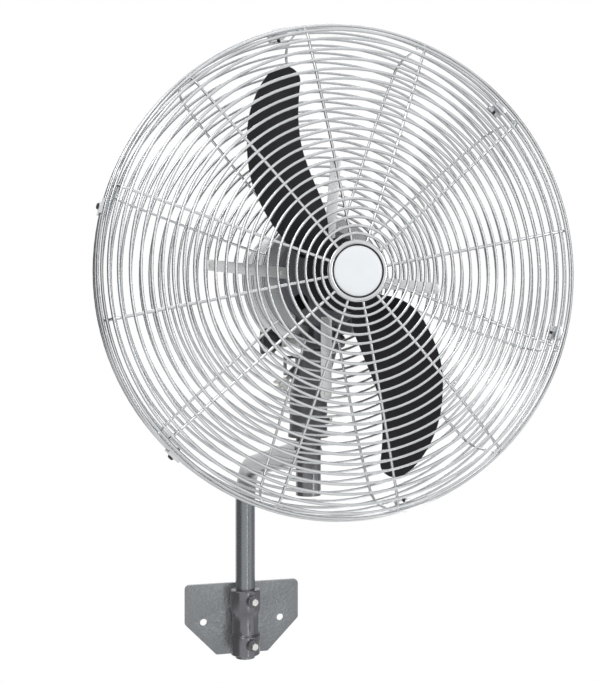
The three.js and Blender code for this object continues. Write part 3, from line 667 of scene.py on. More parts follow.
def eased_rows(rows: Sequence[Sequence[float]], places: Sequence[float]) -> list:
    """Smooth values between the rows of a table.

    Args:
        rows: Rows that start with a rising place, followed by values.
        places: Where values are wanted.

    Returns:
        The values at each place.
    """
    found = []
    for place in places:
        i = max(k for k in range(len(rows) - 1) if rows[k][0] <= place or k == 0)
        before, here = rows[max(i - 1, 0)], rows[i]
        there, after = rows[i + 1], rows[min(i + 2, len(rows) - 1)]
        span = there[0] - here[0]
        share = (place - here[0]) / span
        values = []
        for k in range(1, len(here)):
            slope_in = (there[k] - before[k]) / max(there[0] - before[0], 1e-9) * span
            slope_out = (after[k] - here[k]) / max(after[0] - here[0], 1e-9) * span
            square, cube = share ** 2, share ** 3
            values.append(
                (2 * cube - 3 * square + 1) * here[k] + (cube - 2 * square + share) * slope_in
                + (3 * square - 2 * cube) * there[k] + (cube - square) * slope_out)
        found.append(values)
    return found


def rounded(outline: Sequence[Vector], radii: Sequence[float], steps: int = 6) -> list:
    """An outline with its corners turned into arcs.

    Args:
        outline: The sharp corners.
        radii: The radius at each of them.
        steps: Edges in each arc.

    Returns:
        The points of the new outline.
    """
    spots = []
    for i, (corner, radius) in enumerate(zip(outline, radii)):
        before = (outline[i - 1] - corner).normalized()
        after = (outline[(i + 1) % len(outline)] - corner).normalized()
        half = before.angle(after) / 2
        centre = corner + (before + after).normalized() * (radius / sin(half))
        start = corner + before * (radius / tan(half)) - centre
        end = corner + after * (radius / tan(half)) - centre
        turn = start.angle(end)
        for k in range(steps + 1):
            share = k / steps
            spots.append(centre + (start * sin((1 - share) * turn)
                                   + end * sin(share * turn)) / sin(turn))
    return spots


def hex_bolt(seat: Point, direction: Point, across: float, height: float, shank: float,
             length: float, washer: float = 0) -> Piece:
    """A hexagon bolt with a chamfered head, sitting on its seat.

    Args:
        seat: Where the underside of the head lies.
        direction: The way the head points.
        across: Half the head's width over its corners.
        height: The head's height.
        shank: The shank's radius.
        length: How far the shank reaches the other way.
        washer: The washer's radius, or 0 for none.

    Returns:
        The bolt.
    """
    clear()
    lift = WASHER if washer else 0
    bpy.ops.mesh.primitive_cylinder_add(
        vertices=6, radius=across, depth=height, location=(0, 0, lift + height / 2))
    head = applied(bpy.context.active_object)
    domed = rod((0, 0, lift - 1), (0, 0, lift + height), across * 1.25, 48, across * 0.82)
    head = merged(head, "INTERSECT", [domed])
    eased(head, 0.25, 2, 25)
    parts = [rod((0, 0, -length), (0, 0, lift + 0.5), shank, 24)]
    if washer:
        parts.append(eased(rod((0, 0, 0), (0, 0, lift), washer, 40), 0.4, 2))
    return aimed(joined(head, *parts), seat, direction)


# ---------------------------------------------------------------------------- sub-assemblies
@dataclass
class Assembly:
    """What every sub-assembly shares.

    Attributes:
        base: The point that its millimetres are measured from, in metres.
    """

    base: Vector = field(default_factory=lambda: FAN_BASE.copy())

    def place(self, piece: Piece, name: str, finish: Finish, body: Body, *nodes: str,
              smooth: float = 32) -> None:
        """Settles a finished piece in the frame.

        Args:
            piece: The piece in millimetres.
            name: Its name.
            finish: Its finish.
            body: The body that it moves with.
            nodes: The frame's nodes that it stands for.
            smooth: Edges flatter than this many degrees are shaded smooth.
        """
        piece.scale = (MILLIMETRE,) * 3
        moved(piece, self.base)
        bpy.ops.object.shade_smooth_by_angle(angle=radians(smooth))
        piece.name = piece.data.name = name
        piece.data.materials.clear()
        piece.data.materials.append(finish.material())
        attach(piece, body.value)
        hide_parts(*nodes)
        LOG.info("%s: %d faces on %s", name, len(piece.data.polygons), body.value)


@dataclass
class WallBracket(Assembly):
    """The six-sided wall plate with its sleeve and clamp bolts."""

    half_width: float = 130
    top: float = 85
    bottom: float = -74
    foot: float = 59
    shoulder: float = -2
    corners: tuple = (7, 7, 7, 10, 10, 7)
    thickness: float = 8
    hole_x: float = 88
    hole_radius: float = 8
    stand_off: float = 40
    bore: float = 22.1
    collar: float = 33
    waist: float = 28.8
    bolt_heights: tuple = (57, -40)
    bolt_turn: float = 15
    boss_radius: float = 13
    boss_reach: float = 43
    weld_x: float = 15.8
    weld_radius: float = 2.6

    def plate(self) -> Piece:
        """The flat plate with rounded corners and two holes."""
        outline = [
            (-self.foot, self.bottom), (self.foot, self.bottom), (self.half_width, self.shoulder),
            (self.half_width, self.top), (-self.half_width, self.top),
            (-self.half_width, self.shoulder)]
        corners = rounded([Vector((x, -self.thickness, z)) for x, z in outline], self.corners)
        plate = prism(corners, (0, self.thickness, 0))
        return cut(eased(plate, 0.9, 3, 50), self.hole(-self.hole_x), self.hole(self.hole_x))

    def hole(self, x: float) -> Piece:
        """A cutter for one wall bolt hole, flared where it leaves the plate."""
        small, ease, beyond = self.hole_radius, 0.7, 3
        wide, front = small + ease + beyond, -self.thickness
        profile = [(0, front - beyond), (wide, front - beyond), (small, ease + front),
                   (small, -ease), (wide, beyond), (0, beyond)]
        return moved(turned(profile, Axis.Y, 40), (x, 0, 0))

    def on_boss(self, height: float, reach: float) -> Vector:
        """A point on the axis of a clamp bolt."""
        turn = radians(self.bolt_turn)
        return Vector((sin(turn) * reach, -self.stand_off - cos(turn) * reach, height))

    def sleeve(self) -> Piece:
        """The sleeve with its two thick collars and bosses."""
        thick, thin = self.collar, self.waist
        profile = [
            (0, -66), (thick - 1.5, -66), (thick, -64.5), (thick, -24.5), (thick - 0.8, -22.5),
            (thin + 0.8, -20.5), (thin, -19), (thin, 24), (thin + 0.6, 25.6),
            (thick - 0.6, 30), (thick, 31.6), (thick, 76), (thick - 2, 78), (0, 78)]
        sleeve = moved(turned(profile, Axis.Z, 72), (0, -self.stand_off, 0))
        bosses = [eased(rod(self.on_boss(height, 8),
                            self.on_boss(height, self.boss_reach),
                            self.boss_radius + 1, 48, self.boss_radius), 1.2, 3)
                  for height in self.bolt_heights]
        web = eased(block((-15, -self.stand_off, -60), (15, -4, 72)), 1.5, 2)
        bore = rod((0, -self.stand_off, -90), (0, -self.stand_off, 95), self.bore, 64)
        return cut(fused(sleeve, web, *bosses), bore)

    def build(self) -> None:
        """Models the bracket and its bolts."""
        self.place(self.plate(), "bracket_plate", HAMMERED_GREY, Body.BRACKET, "wall_bracket",
                   smooth=20)
        self.place(self.sleeve(), "bracket_sleeve", SHADED_HAMMERED_GREY, Body.BRACKET, "wall_bracket")
        beads = [swept([(x, -self.thickness - 0.6, z) for z in range(-58, 72, 4)],
                       self.weld_radius, 12) for x in (-self.weld_x, self.weld_x)]
        self.place(joined(*beads), "bracket_weld", SHADED_HAMMERED_GREY, Body.BRACKET, "wall_bracket")
        direction = self.on_boss(0, 1) - self.on_boss(0, 0)
        for height, name in zip(self.bolt_heights, ("sleeve_bolt_upper", "sleeve_bolt_lower")):
            seat = self.on_boss(height, self.boss_reach + CLEARANCE)
            rim = self.on_boss(height, self.boss_reach + CLEARANCE + WASHER)
            washer = eased(rod(seat, rim, 11, 40), 0.4, 2)
            self.place(washer, f"{name}_washer", CASTING_GREY, Body.BRACKET, name)
            bolt = hex_bolt(rim, direction, across=8.4, height=4.6, shank=5, length=21)
            self.place(bolt, f"{name}_head", ZINC, Body.BRACKET, name)


@dataclass
class PipeArm(Assembly):
    """The bent pipe and the spigot tube that it carries."""

    radius: float = 21.8
    wall: float = 3
    stand_off: float = 40
    bottom: float = -74
    bend_radius: float = 100
    steps: int = 24
    slope: float = 10
    column: float = -564
    joint_height: float = 439.4
    spigot_low: float = 362
    spigot_high: float = 520
    weld_spots: int = 60
    weld_radius: float = 2.8
    ripple: float = 0.35
    ripples: int = 9

    def centre_line(self) -> list:
        """The points of the pipe's centre line, from its foot to the column."""
        slope = radians(self.slope)
        turn = pi / 2 - slope
        reach = -self.stand_off - self.column
        corner = self.joint_height - reach * tan(slope)
        start = corner - self.bend_radius * tan(turn / 2)
        centre = -self.stand_off - self.bend_radius
        bend = [(0, centre + self.bend_radius * cos(turn * i / self.steps),
                 start + self.bend_radius * sin(turn * i / self.steps))
                for i in range(self.steps + 1)]
        return [(0, -self.stand_off, self.bottom), *bend, (0, self.column, self.joint_height)]

    def pipe(self) -> Piece:
        """The pipe, hollow throughout and saddled onto the spigot tube."""
        line = self.centre_line()
        pipe = swept(line, self.radius, 48)
        end = Vector(line[-1])
        past_end = end + (end - Vector(line[-2])).normalized() * 6
        foot = Vector(line[0]) - Vector((0, 0, 6))
        hollow = swept([foot, *line[1:-1], past_end], self.radius - self.wall, 48)
        low, high = self.spigot_low - 5, self.spigot_high + 5
        saddle = rod((0, self.column, low), (0, self.column, high), self.radius + 0.2, 64)
        beyond = block((-60, self.column - 90, low), (60, self.column, high))
        return cut(pipe, hollow, saddle, beyond)

    def weld(self) -> Piece:
        """The bead where the pipe meets the spigot tube."""
        slope = radians(self.slope)
        along = Vector((0, -cos(slope), sin(slope)))
        across = Vector((0, sin(slope), cos(slope)))
        spots = []
        for i in range(self.weld_spots):
            angle = FULL_TURN * i / self.weld_spots
            side, up = self.radius * cos(angle), self.radius * sin(angle)
            start = Vector((side, self.column, self.joint_height)) + across * up
            wanted = self.column + self.radius * abs(sin(angle))
            ripple = self.ripple * sin(self.ripples * angle)
            spots.append(start + along * ((wanted - start.y) / along.y) + across * ripple)
        return swept(spots, self.weld_radius, 10, closed=True)

    def build(self) -> None:
        """Models the pipe, its weld and the spigot tube."""
        self.place(self.pipe(), "arm_bent_pipe", PIPE_GREY, Body.ARM, "arm_pipe")
        self.place(self.weld(), "arm_weld", PIPE_GREY, Body.ARM, "arm_pipe")
        inner = self.radius - self.wall
        tube = turned([
            (inner, self.spigot_low), (self.radius, self.spigot_low),
            (self.radius, self.spigot_high), (inner, self.spigot_high)], Axis.Z, 72)
        tube = eased(moved(tube, (0, self.column, 0)), 0.6, 2, 50)
        self.place(tube, "spigot_column", SHADED_HAMMERED_GREY, Body.ARM, "spigot_tube")


@dataclass
class Collar(Assembly):
    """The collar that holds the neck's height on the spigot tube."""

    bore: float = 22.1
    radius: float = 32.5
    lip: float = 35
    bottom: float = -269.5
    top: float = -201
    screw_height: float = -241

    def build(self) -> None:
        """Models the collar and its set screw."""
        low, top, radius, lip = self.bottom, self.top, self.radius, self.lip
        collar = turned([
            (self.bore, low), (lip - 1, low), (lip, low + 1), (lip, low + 6),
            (lip - 0.8, low + 7.2), (radius + 0.6, low + 8.6), (radius, low + 10.5),
            (radius, top - 2.5), (radius - 0.8, top - 0.8), (radius - 2.5, top),
            (self.bore, top)], Axis.Z, 72)
        moved(collar, (0, COLUMN_BACK, 0))
        inner, seat, head = (Vector((x, COLUMN_BACK, self.screw_height))
                             for x in (24, radius + 4, radius + 4 + CLEARANCE))
        fused(collar, eased(rod(inner, seat, 8, 40), 1, 3))
        self.place(collar, "spigot_clamp_collar", CASTING_GREY, Body.ARM, "spigot_collar")
        screw = hex_bolt(head, (1, 0, 0), across=6.5, height=4.8, shank=4, length=8)
        self.place(screw, "collar_screw_head", ZINC, Body.ARM, "collar_set_screw")


def on_tilt(x: float) -> Vector:
    """A point on the tilt axis."""
    return Vector((x, TILT_BACK, -TILT_DROP))


@dataclass
class Neck(Assembly):
    """The casting that leans from the column to the tilt fork, and what clamps it."""

    bottom: float = -200.7
    half_width: float = 31
    fork_half: float = 29
    fork_radius: float = 15
    slot_half: float = 17
    pivot_radius: float = 6
    fullness: float = 0.75
    knob_inner: float = 70
    knob_outer: float = 102
    knob_radius: float = 23
    lock_seat: tuple = (-29, 169.33, -152.35)
    lock_line: tuple = (-0.72, 0, -0.69)
    wing_line: tuple = (-0.497, 0.69, 0.518)
    wing_arcs: tuple = (((4, 0), (16.5, 5), (15, 17)), ((15, 17), (9.5, 18), (3, 9.5)))
    boss_length: float = 14
    stations: tuple = (
        (0, 0, 0, 30), (0.17, 0.04, 0, 30), (0.35, 0.19, 0, 28),
        (0.53, 0.43, 0.25, 25), (0.67, 0.65, 0.65, 21.5), (0.8, 0.83, 1, 18),
        (0.91, 0.95, 1, 14))

    def on_lock(self, reach: float) -> Vector:
        """A point on the axis of the pan lock."""
        return Vector(self.lock_seat) + Vector(self.lock_line).normalized() * reach

    def section(self, station: Sequence[float]) -> tuple:
        """The centre and half sizes of the neck at a station of (up, forward, drawn in, depth)."""
        up, forward, drawn_in, depth = station
        centre = Vector((
            0, COLUMN_BACK + (TILT_BACK - COLUMN_BACK) * forward,
            self.bottom - (TILT_DROP + self.bottom) * up))
        return centre, self.half_width + (self.fork_half - self.half_width) * drawn_in, depth

    def trunk(self) -> Piece:
        """The leaning body, drawn up section by section from its foot."""
        places = [self.stations[-1][0] * i / 16 for i in range(17)]
        values = eased_rows(self.stations, places)
        rows = [(place, *row) for place, row in zip(places, values)]
        centre, half_width, half_depth = self.section(rows[0])
        clear()
        bpy.ops.mesh.primitive_circle_add(vertices=56, radius=1, fill_type="NGON", location=centre)
        trunk = applied(bpy.context.active_object)
        for vertex in trunk.data.vertices:
            x, y = vertex.co.x - centre.x, vertex.co.y - centre.y
            vertex.co.x = centre.x + half_width * copysign(abs(x) ** self.fullness, x)
            vertex.co.y = centre.y + half_depth * copysign(abs(y) ** self.fullness, y)
        edit(trunk)
        for row in rows[1:]:
            there, next_width, next_depth = self.section(row)
            bpy.ops.mesh.extrude_region_move(TRANSFORM_OT_translate={"value": there - centre})
            bpy.ops.transform.resize(
                value=(next_width / half_width, next_depth / half_depth, 1), center_override=there)
            centre, half_width, half_depth = there, next_width, next_depth
        return close(trunk)

    def casting(self) -> Piece:
        """The trunk with its fork, slot, bores and the boss of the pan lock."""
        trunk = eased(self.trunk(), 2, 3, 60)
        fork = eased(rod(on_tilt(-self.fork_half), on_tilt(self.fork_half),
                         self.fork_radius, 48), 1.2, 3)
        boss = eased(rod(self.on_lock(-12), self.on_lock(self.boss_length), 8.6, 40, 8), 0.8, 2)
        fused(trunk, fork, boss)
        slot = rod(on_tilt(-self.slot_half), on_tilt(self.slot_half), 16.5, 48)
        reach = self.fork_radius + 5
        mouth = block(on_tilt(-self.slot_half) - Vector((0, reach, 0)),
                      on_tilt(self.slot_half) + Vector((0, reach + 4, reach)))
        pivot = rod(on_tilt(-self.fork_half - 5), on_tilt(self.fork_half + 5),
                    self.pivot_radius + CLEARANCE, 32)
        return eased(cut(trunk, slot, mouth, pivot), 0.5, 2, 60)

    def pivot_bolt(self) -> tuple:
        """The tilt bolt: its dark head, and its washer, nuts and bare thread."""
        side, right, left = self.fork_half + CLEARANCE, (1, 0, 0), (-1, 0, 0)
        head = hex_bolt(on_tilt(side), right, across=11, height=8, shank=5.8,
                        length=side + 8, washer=13)
        washer = eased(rod(on_tilt(-side - 2.6), on_tilt(-side), 12.5, 40), 0.5, 2)
        nut = hex_bolt(on_tilt(-side - 2.8), left, across=10, height=7, shank=5.8, length=0.2)
        stop = hex_bolt(on_tilt(1 - self.knob_inner), right, across=9.4, height=12, shank=5.8,
                        length=0.2)
        shank = self.thread(on_tilt(-side - 9.6), on_tilt(-self.knob_inner - 12),
                            self.pivot_radius, 1.75)
        return head, joined(washer, nut, stop, shank)

    @staticmethod
    def thread(start: Vector, end: Vector, radius: float, pitch: float) -> Piece:
        """A threaded bar: a turned profile of ridges, a pitch apart."""
        run = (end - start).length
        profile = [(0, 0)]
        for i in range(int(run / pitch)):
            profile += [(radius - pitch * 0.45, i * pitch), (radius, (i + 0.5) * pitch)]
        profile += [(radius - pitch * 0.45, run), (0, run)]
        return aimed(turned(profile, Axis.Z, 24), start, end - start)

    def knob(self) -> Piece:
        """The five-lobed hand knob."""
        count, lobes = 60, 5
        outline = []
        for i in range(count):
            angle = FULL_TURN * i / count
            radius = (self.knob_radius - 1) * (0.9 + 0.1 * cos(lobes * angle))
            outline.append((-self.knob_outer, TILT_BACK + radius * cos(angle),
                            -TILT_DROP + radius * sin(angle)))
        inner, outer = -self.knob_inner, -self.knob_outer
        grip = eased(prism(outline, (inner - 9 - outer, 0, 0)), 3, 4, 50)
        hub = rod(on_tilt(inner), on_tilt(inner - 12), 11, 40, 15)
        dish = rod(on_tilt(outer - 1), on_tilt(outer + 2.5), 13.5, 40, 11.5)
        socket = rod(on_tilt(inner + 5), on_tilt(inner - 14.3), self.pivot_radius + CLEARANCE, 32)
        return cut(fused(grip, eased(hub, 0.8, 2)), dish, socket)

    def wing_bolt(self) -> Piece:
        """The winged bolt that locks the pan."""
        seat = self.boss_length + 2 * CLEARANCE + 2
        end = seat + 33
        edge = []
        for first, pull, last in self.wing_arcs:
            for i in range(7):
                share = i / 7
                edge.append(tuple((1 - share) ** 2 * a + 2 * share * (1 - share) * b
                                  + share ** 2 * c for a, b, c in zip(first, pull, last)))
        edge.append(self.wing_arcs[-1][-1])
        outline = [*edge, *((-side, up) for side, up in reversed(edge))]
        wings = eased(prism([(-1.8, side, up) for side, up in outline], (3.6, 0, 0)), 1, 3)
        axis = Vector(self.lock_line).normalized()
        across = Vector(self.wing_line).normalized()
        turn = Matrix((across.cross(axis), across, axis)).transposed().to_4x4()
        wings.matrix_world = Matrix.Translation(self.on_lock(end - 25)) @ turn
        hub = eased(rod(self.on_lock(end - 27), self.on_lock(end - 11), 7, 32, 5.4), 0.8, 3)
        tip = rod(self.on_lock(end - 12), self.on_lock(end - 4), 4, 24)
        shank = self.thread(self.on_lock(1), self.on_lock(end - 26), 4, 1.25)
        return joined(hub, applied(wings), shank, eased(tip, 0.6, 2))

    def lock_plate(self) -> Piece:
        """The small bent bracket under the winged bolt."""
        low = self.boss_length + CLEARANCE
        plate = eased(rod(self.on_lock(low), self.on_lock(low + 2), 10, 40), 0.4, 2)
        x, y, z = self.lock_seat
        walls = [block((x + left, y - 7, z + low), (x + right, y + 7, z + 24))
                 for left, right, low in ((-20.5, -18.2, -9), (-20.5, 2.5, 19.5), (0.2, 2.5, 12))]
        bent = eased(fused(*walls), 0.7, 2)
        hole = rod(self.on_lock(0), self.on_lock(low + 8), 4.3, 24)
        return cut(fused(plate, bent), hole)

    def build(self) -> None:
        """Models the neck and its hand screws."""
        pin = rod((0, COLUMN_BACK, self.bottom - 60), (0, COLUMN_BACK, self.bottom + 4), 18.5, 40)
        self.place(joined(self.casting(), pin), "neck_body", CASTING_GREY, Body.NECK,
                   "neck_casting", smooth=40)
        head, thread = self.pivot_bolt()
        self.place(head, "tilt_bolt_head", CASTING_GREY, Body.NECK, "tilt_pivot_bolt")
        self.place(thread, "tilt_bolt_thread", ZINC, Body.NECK, "tilt_pivot_bolt")
        self.place(self.lock_plate(), "pan_lock_plate", CASTING_GREY, Body.NECK, "lock_bracket")
        self.place(self.knob(), "tilt_hand_knob", BLACK_PLASTIC, Body.TILT_KNOB, "tilt_knob",
                   smooth=40)
        self.place(self.wing_bolt(), "pan_wing_bolt", ZINC, Body.PAN_LOCK, "pan_lock_bolt")


@dataclass
class Motor(Assembly):
    """The motor's two bells, its shell and what is screwed to them."""

    radius: float = 103
    wall: float = 4
    face: float = 89.3
    nose: float = 80
    shoulder: float = 95
    bell_end: float = 140
    shell_end: float = 245
    rear: float = 270
    tongue_half: float = 16.7
    tongue_radius: float = 14.5
    pocket: tuple = (-50, 46)
    pocket_back: float = 133.5
    slots: int = 24
    slot_run: tuple = (60, 77)
    rod_circle: float = 86
    rod_angles: tuple = (45, 135, 225, 315)
    gland_drop: float = 56

    def drum(self) -> Piece:
        """The light drum round the nose, with the notch that the tilt fork sits in."""
        inner, edge, front, end = self.nose + CLEARANCE, self.radius, self.shoulder, self.bell_end
        wall, shelf = self.wall, self.shoulder + self.wall
        drum = turned([
            (inner, front), (edge - 5, front), (edge - 2.2, front + 0.6), (edge - 0.6, front + 2.2),
            (edge, front + 5), (edge, end), (edge - wall, end), (edge - wall, shelf),
            (inner, shelf)], Axis.Y, 112)
        left, right = self.pocket
        low, back = -edge - 5, self.pocket_back
        cut(drum, block((left, self.face, low), (right, back, -45)))
        walls = block((left - wall, shelf - 1, low), (right + wall, back + wall, -40))
        cut(walls, block((left, self.face, low - 5), (right, back, -30)),
            self.barrel(inner, end + 5))
        merged(walls, "INTERSECT", [self.barrel(edge - 1.5, end + 5)])
        return fused(drum, walls)

    def nose_cup(self) -> Piece:
        """The dark nose with its vents and the tilt lug."""
        face, edge, end = self.face, self.nose, self.bell_end - 2
        cup = turned([
            (12, face), (edge - 4, face), (edge - 1.2, face + 1.2), (edge, face + 4),
            (edge, end), (edge - self.wall, end), (edge - self.wall, face + 5),
            (12, face + 5)], Axis.Y, 112)
        reach, top, back = self.tongue_half, self.wall - self.nose, self.pocket_back - CLEARANCE
        near, far = TILT_BACK - self.tongue_radius + 1, TILT_BACK + self.tongue_radius - 0.5
        outline = [(near, -TILT_DROP), (near, top), (back, top), (back, 7.25 - TILT_DROP),
                   (far, -TILT_DROP)]
        lug = prism([(-reach, y, z) for y, z in outline], (2 * reach, 0, 0))
        tongue = rod(on_tilt(-reach), on_tilt(reach), self.tongue_radius, 48)
        pivot = rod(on_tilt(-reach - 5), on_tilt(reach + 5), 6.3, 32)
        return cut(fused(cup, eased(lug, 0.8, 2), eased(tongue, 0.8, 2)),
                   pivot, *vents(face - 5, face + 7))

    def barrel(self, radius: float, end: float) -> Piece:
        """A round cutter about the fan's axis that starts in front of the motor."""
        return rod((0, self.face - 10, 0), (0, end, 0), radius, 112)

    def rear_bell(self) -> Piece:
        """The rear bell with a ring of cooling slots."""
        edge, rear, seam = self.radius, self.rear, self.shell_end
        bell = turned([
            (0, rear), (40, rear), (44, rear - 1.5), (48, rear - 1.5), (52, rear),
            (edge - 11, rear), (edge - 8.6, rear - 1), (edge - 4.5, rear - 4.2),
            (edge - 1.4, rear - 9), (edge, rear - 14), (edge, seam + 2.6),
            (edge - 0.8, seam + 1.2), (edge - 0.8, seam + 0.3), (edge - 4, seam + 0.3),
            (edge - 4, rear - 15), (edge - 13, rear - 4.5), (0, rear - 4.5)], Axis.Y, 96)
        below, keep_clear = 270, 20
        angles = [360 * (i + 0.5) / self.slots for i in range(self.slots)]
        angles = [angle for angle in angles if abs(angle - below) >= keep_clear]
        near, far = self.slot_run
        slot = eased(block((near, rear - 8, -2.2), (far, rear + 3, 2.2)), 2, 4, 60)
        slots = around(slot, angles)
        gland_hole = rod((0, rear - 9, -self.gland_drop), (0, rear + 4, -self.gland_drop), 7.3, 32)
        return cut(bell, joined(*slots), gland_hole)

    def shell(self) -> Piece:
        """The shell with a rolled bead at each end."""
        edge, start, end = self.radius, self.bell_end + CLEARANCE, self.shell_end
        bead = ((self.wall, 0), (0.8, 0), (0, 0.8), (0, 5), (0.9, 6.2), (0.9, 7.6), (0, 8.8))
        return turned([*((edge - sunk, start + along) for sunk, along in bead),
                       *((edge - sunk, end - along) for sunk, along in reversed(bead))],
                      Axis.Y, 96)

    def gland(self) -> Piece:
        """The ribbed cable gland."""
        rear, seat = self.rear, self.rear + CLEARANCE
        profile = [(4, rear - 4), (7, rear - 4), (7, seat), (12, seat),
                   (12, rear + 5.5), (11, rear + 6.5)]
        for i in range(4):
            low, ridge, groove = rear + 7 + 2.6 * i, 9.2 - 0.5 * i, 7.4 - 0.4 * i
            profile += [(ridge, low), (ridge, low + 1.5), (groove, low + 1.9), (groove, low + 2.3)]
        profile += [(5.6, rear + 18), (4, rear + 18)]
        return moved(turned(profile, Axis.Y, 40), (0, 0, -self.gland_drop))

    def build(self) -> None:
        """Models the motor."""
        self.place(self.drum(), "motor_drum", MOTOR_GREY, Body.HEAD, "motor_front_bell")
        self.place(self.nose_cup(), "motor_nose", NOSE_GREY, Body.HEAD, "motor_front_bell")
        self.place(self.shell(), "motor_barrel", MOTOR_GREY, Body.HEAD, "motor_shell")
        self.place(self.rear_bell(), "motor_back", MOTOR_GREY, Body.HEAD, "motor_rear_bell")
        self.place(self.gland(), "motor_gland", BLACK_PLASTIC, Body.HEAD, "cable_gland")
        for i, angle in enumerate(self.rod_angles, 1):
            seat = polar(self.rod_circle, angle, self.rear + CLEARANCE)
            tie = hex_bolt(seat, (0, 1, 0), across=5.2, height=3.6, shank=2.5,
                           length=self.rear - 137)
            self.place(tie, f"tie_rod_head_{i}", ZINC, Body.HEAD, f"motor_tie_rod_{i}")


@dataclass
class Spider(Assembly):
    """The dark ring on the motor's face and the four bright straps that carry the rear guard."""

    front: float = 86
    thickness: float = 3
    angles: tuple = (-4.5, 85, 175, 270)
    width: float = 18
    start: float = 64
    reach: float = 200
    ring: float = 72
    hole: float = 34
    screw_circle: float = 72
    clamp_circle: float = 189.77
    wire_back: float = 93.8

    def strap(self, gap: float = 0) -> Piece:
        """One strap, from its square root on the ring to its round end, grown by a gap."""
        half, front = self.width / 2 + gap, self.front - gap
        centre = Vector((self.reach - self.width / 2, 0, 0))
        outline = [(self.start - gap, front, -half),
                   *(centre + polar(half, angle, front) for angle in range(-90, 91, 12)),
                   (self.start - gap, front, half)]
        return prism(outline, (0, self.thickness + 2 * gap, 0))

    def build(self) -> None:
        """Models the ring, the straps, their screws and the guard clamps."""
        front, back = self.front, self.front + self.thickness
        ring = turned([(self.hole, front), (self.ring, front), (self.ring, back),
                       (self.hole, back)], Axis.Y, 96)
        cut(ring, *vents(front - 4, back + 4), *around(self.strap(CLEARANCE / 2), self.angles))
        eased(ring, 0.5, 2, 50)
        self.place(ring, "motor_face_ring", NOSE_GREY, Body.HEAD, "guard_spider")
        straps = around(eased(self.strap(), 0.5, 2, 50), self.angles)
        self.place(joined(*straps), "guard_straps", STRAP_GREY, Body.HEAD, "guard_spider")
        for i, angle in enumerate(self.angles, 1):
            screw, clamp = (
                hex_bolt(polar(circle, angle, front - CLEARANCE), (0, -1, 0), across=5.2,
                         height=3.2, shank=2.6, length=self.thickness + beyond)
                for circle, beyond in ((self.screw_circle, 6), (self.clamp_circle, 6.5)))
            self.place(screw, f"spider_screw_head_{i}", ZINC, Body.HEAD, f"spider_screw_{i}")
            near, far = (polar(self.clamp_circle, angle, self.wire_back + along)
                         for along in (CLEARANCE, 2.3))
            washer = eased(rod(near, far, 8, 40), 0.4, 2)
            self.place(joined(clamp, washer), f"strap_clamp_screw_{i}", ZINC, Body.HEAD,
                       f"strap_clamp_{i}")


@dataclass
class WireGuard(Assembly):
    """One half of the wire guard with all of its rings."""

    side: Side = Side.FRONT
    outer: float = 380
    belt: float = 12.5
    wire: float = 2.25
    ring_step: float = 14.97
    ring_count: int = 16
    first_ring: float = 107.2
    centre_rings: tuple = (44, 55.6, 67, 80.2, 93.7)
    shoulder: float = 346.7
    rim_rings: tuple = (0.02, 0.3, 0.55, 0.78, 1)
    ribs: int = 12
    rib_start: float = 11.5
    rib_inset: float = 2.6
    rib_step: float = 16
    rim_inset: float = 3.2
    crown: float = 77.7
    dish_radius: float = 300
    dish: tuple = (12.2, 0.9)
    rear_plane: float = 91.55
    rear_flat: float = 215
    rear_run: float = 130
    rear_dish: float = 14

    @property
    def radii(self) -> list:
        """The radii of the rings on the guard's face; the rear half is open at its centre."""
        centre = self.centre_rings if self.side is Side.FRONT else ()
        return [*centre, *(self.first_ring + self.ring_step * i for i in range(self.ring_count))]

    def along(self, radius: float) -> float:
        """How far back the guard's face lies at a radius."""
        if self.side is Side.FRONT:
            share = radius / self.dish_radius
            return -self.crown + self.dish[0] * share ** 2 + self.dish[1] * share ** 6
        share = max(0, radius - self.rear_flat) / self.rear_run
        return self.rear_plane - self.rear_dish * share ** 2

    def rim_curve(self, share: float) -> tuple:
        """A point on the turn from the shoulder to the belt, from share 0 to 1."""
        rim = self.outer - self.rim_inset
        start = self.along(self.shoulder)
        end = self.side.value * self.belt
        angle = share * pi / 2
        radius = self.shoulder + (rim - self.shoulder) * sin(angle) ** 0.9
        return radius, end + (start - end) * cos(angle) ** 0.75

    def build(self) -> None:
        """Models the rings and ribs as one welded wire piece."""
        rings = [hoop(radius, self.along(radius), self.wire) for radius in self.radii]
        rings += [hoop(*self.rim_curve(share), self.wire, 128) for share in self.rim_rings]
        inset = -self.side.value * self.rib_inset
        line = []
        radius = self.radii[0] - 0.5
        while radius < self.shoulder - 6:
            line.append((radius, self.along(radius) + inset, 0))
            radius += self.rib_step
        for i in range(12):
            share = i / 11
            radius, along = self.rim_curve(share)
            line.append((radius - self.rib_inset * share, along + inset * (1 - share), 0))
        rib = swept(line, self.wire, 8)
        angles = [self.rib_start + 360 * i / self.ribs for i in range(self.ribs)]
        guard = joined(*rings, *around(rib, angles))
        name = self.side.name.lower()
        self.place(guard, f"{name}_wire_guard", CHROME, Body.HEAD, f"{name}_guard", smooth=60)


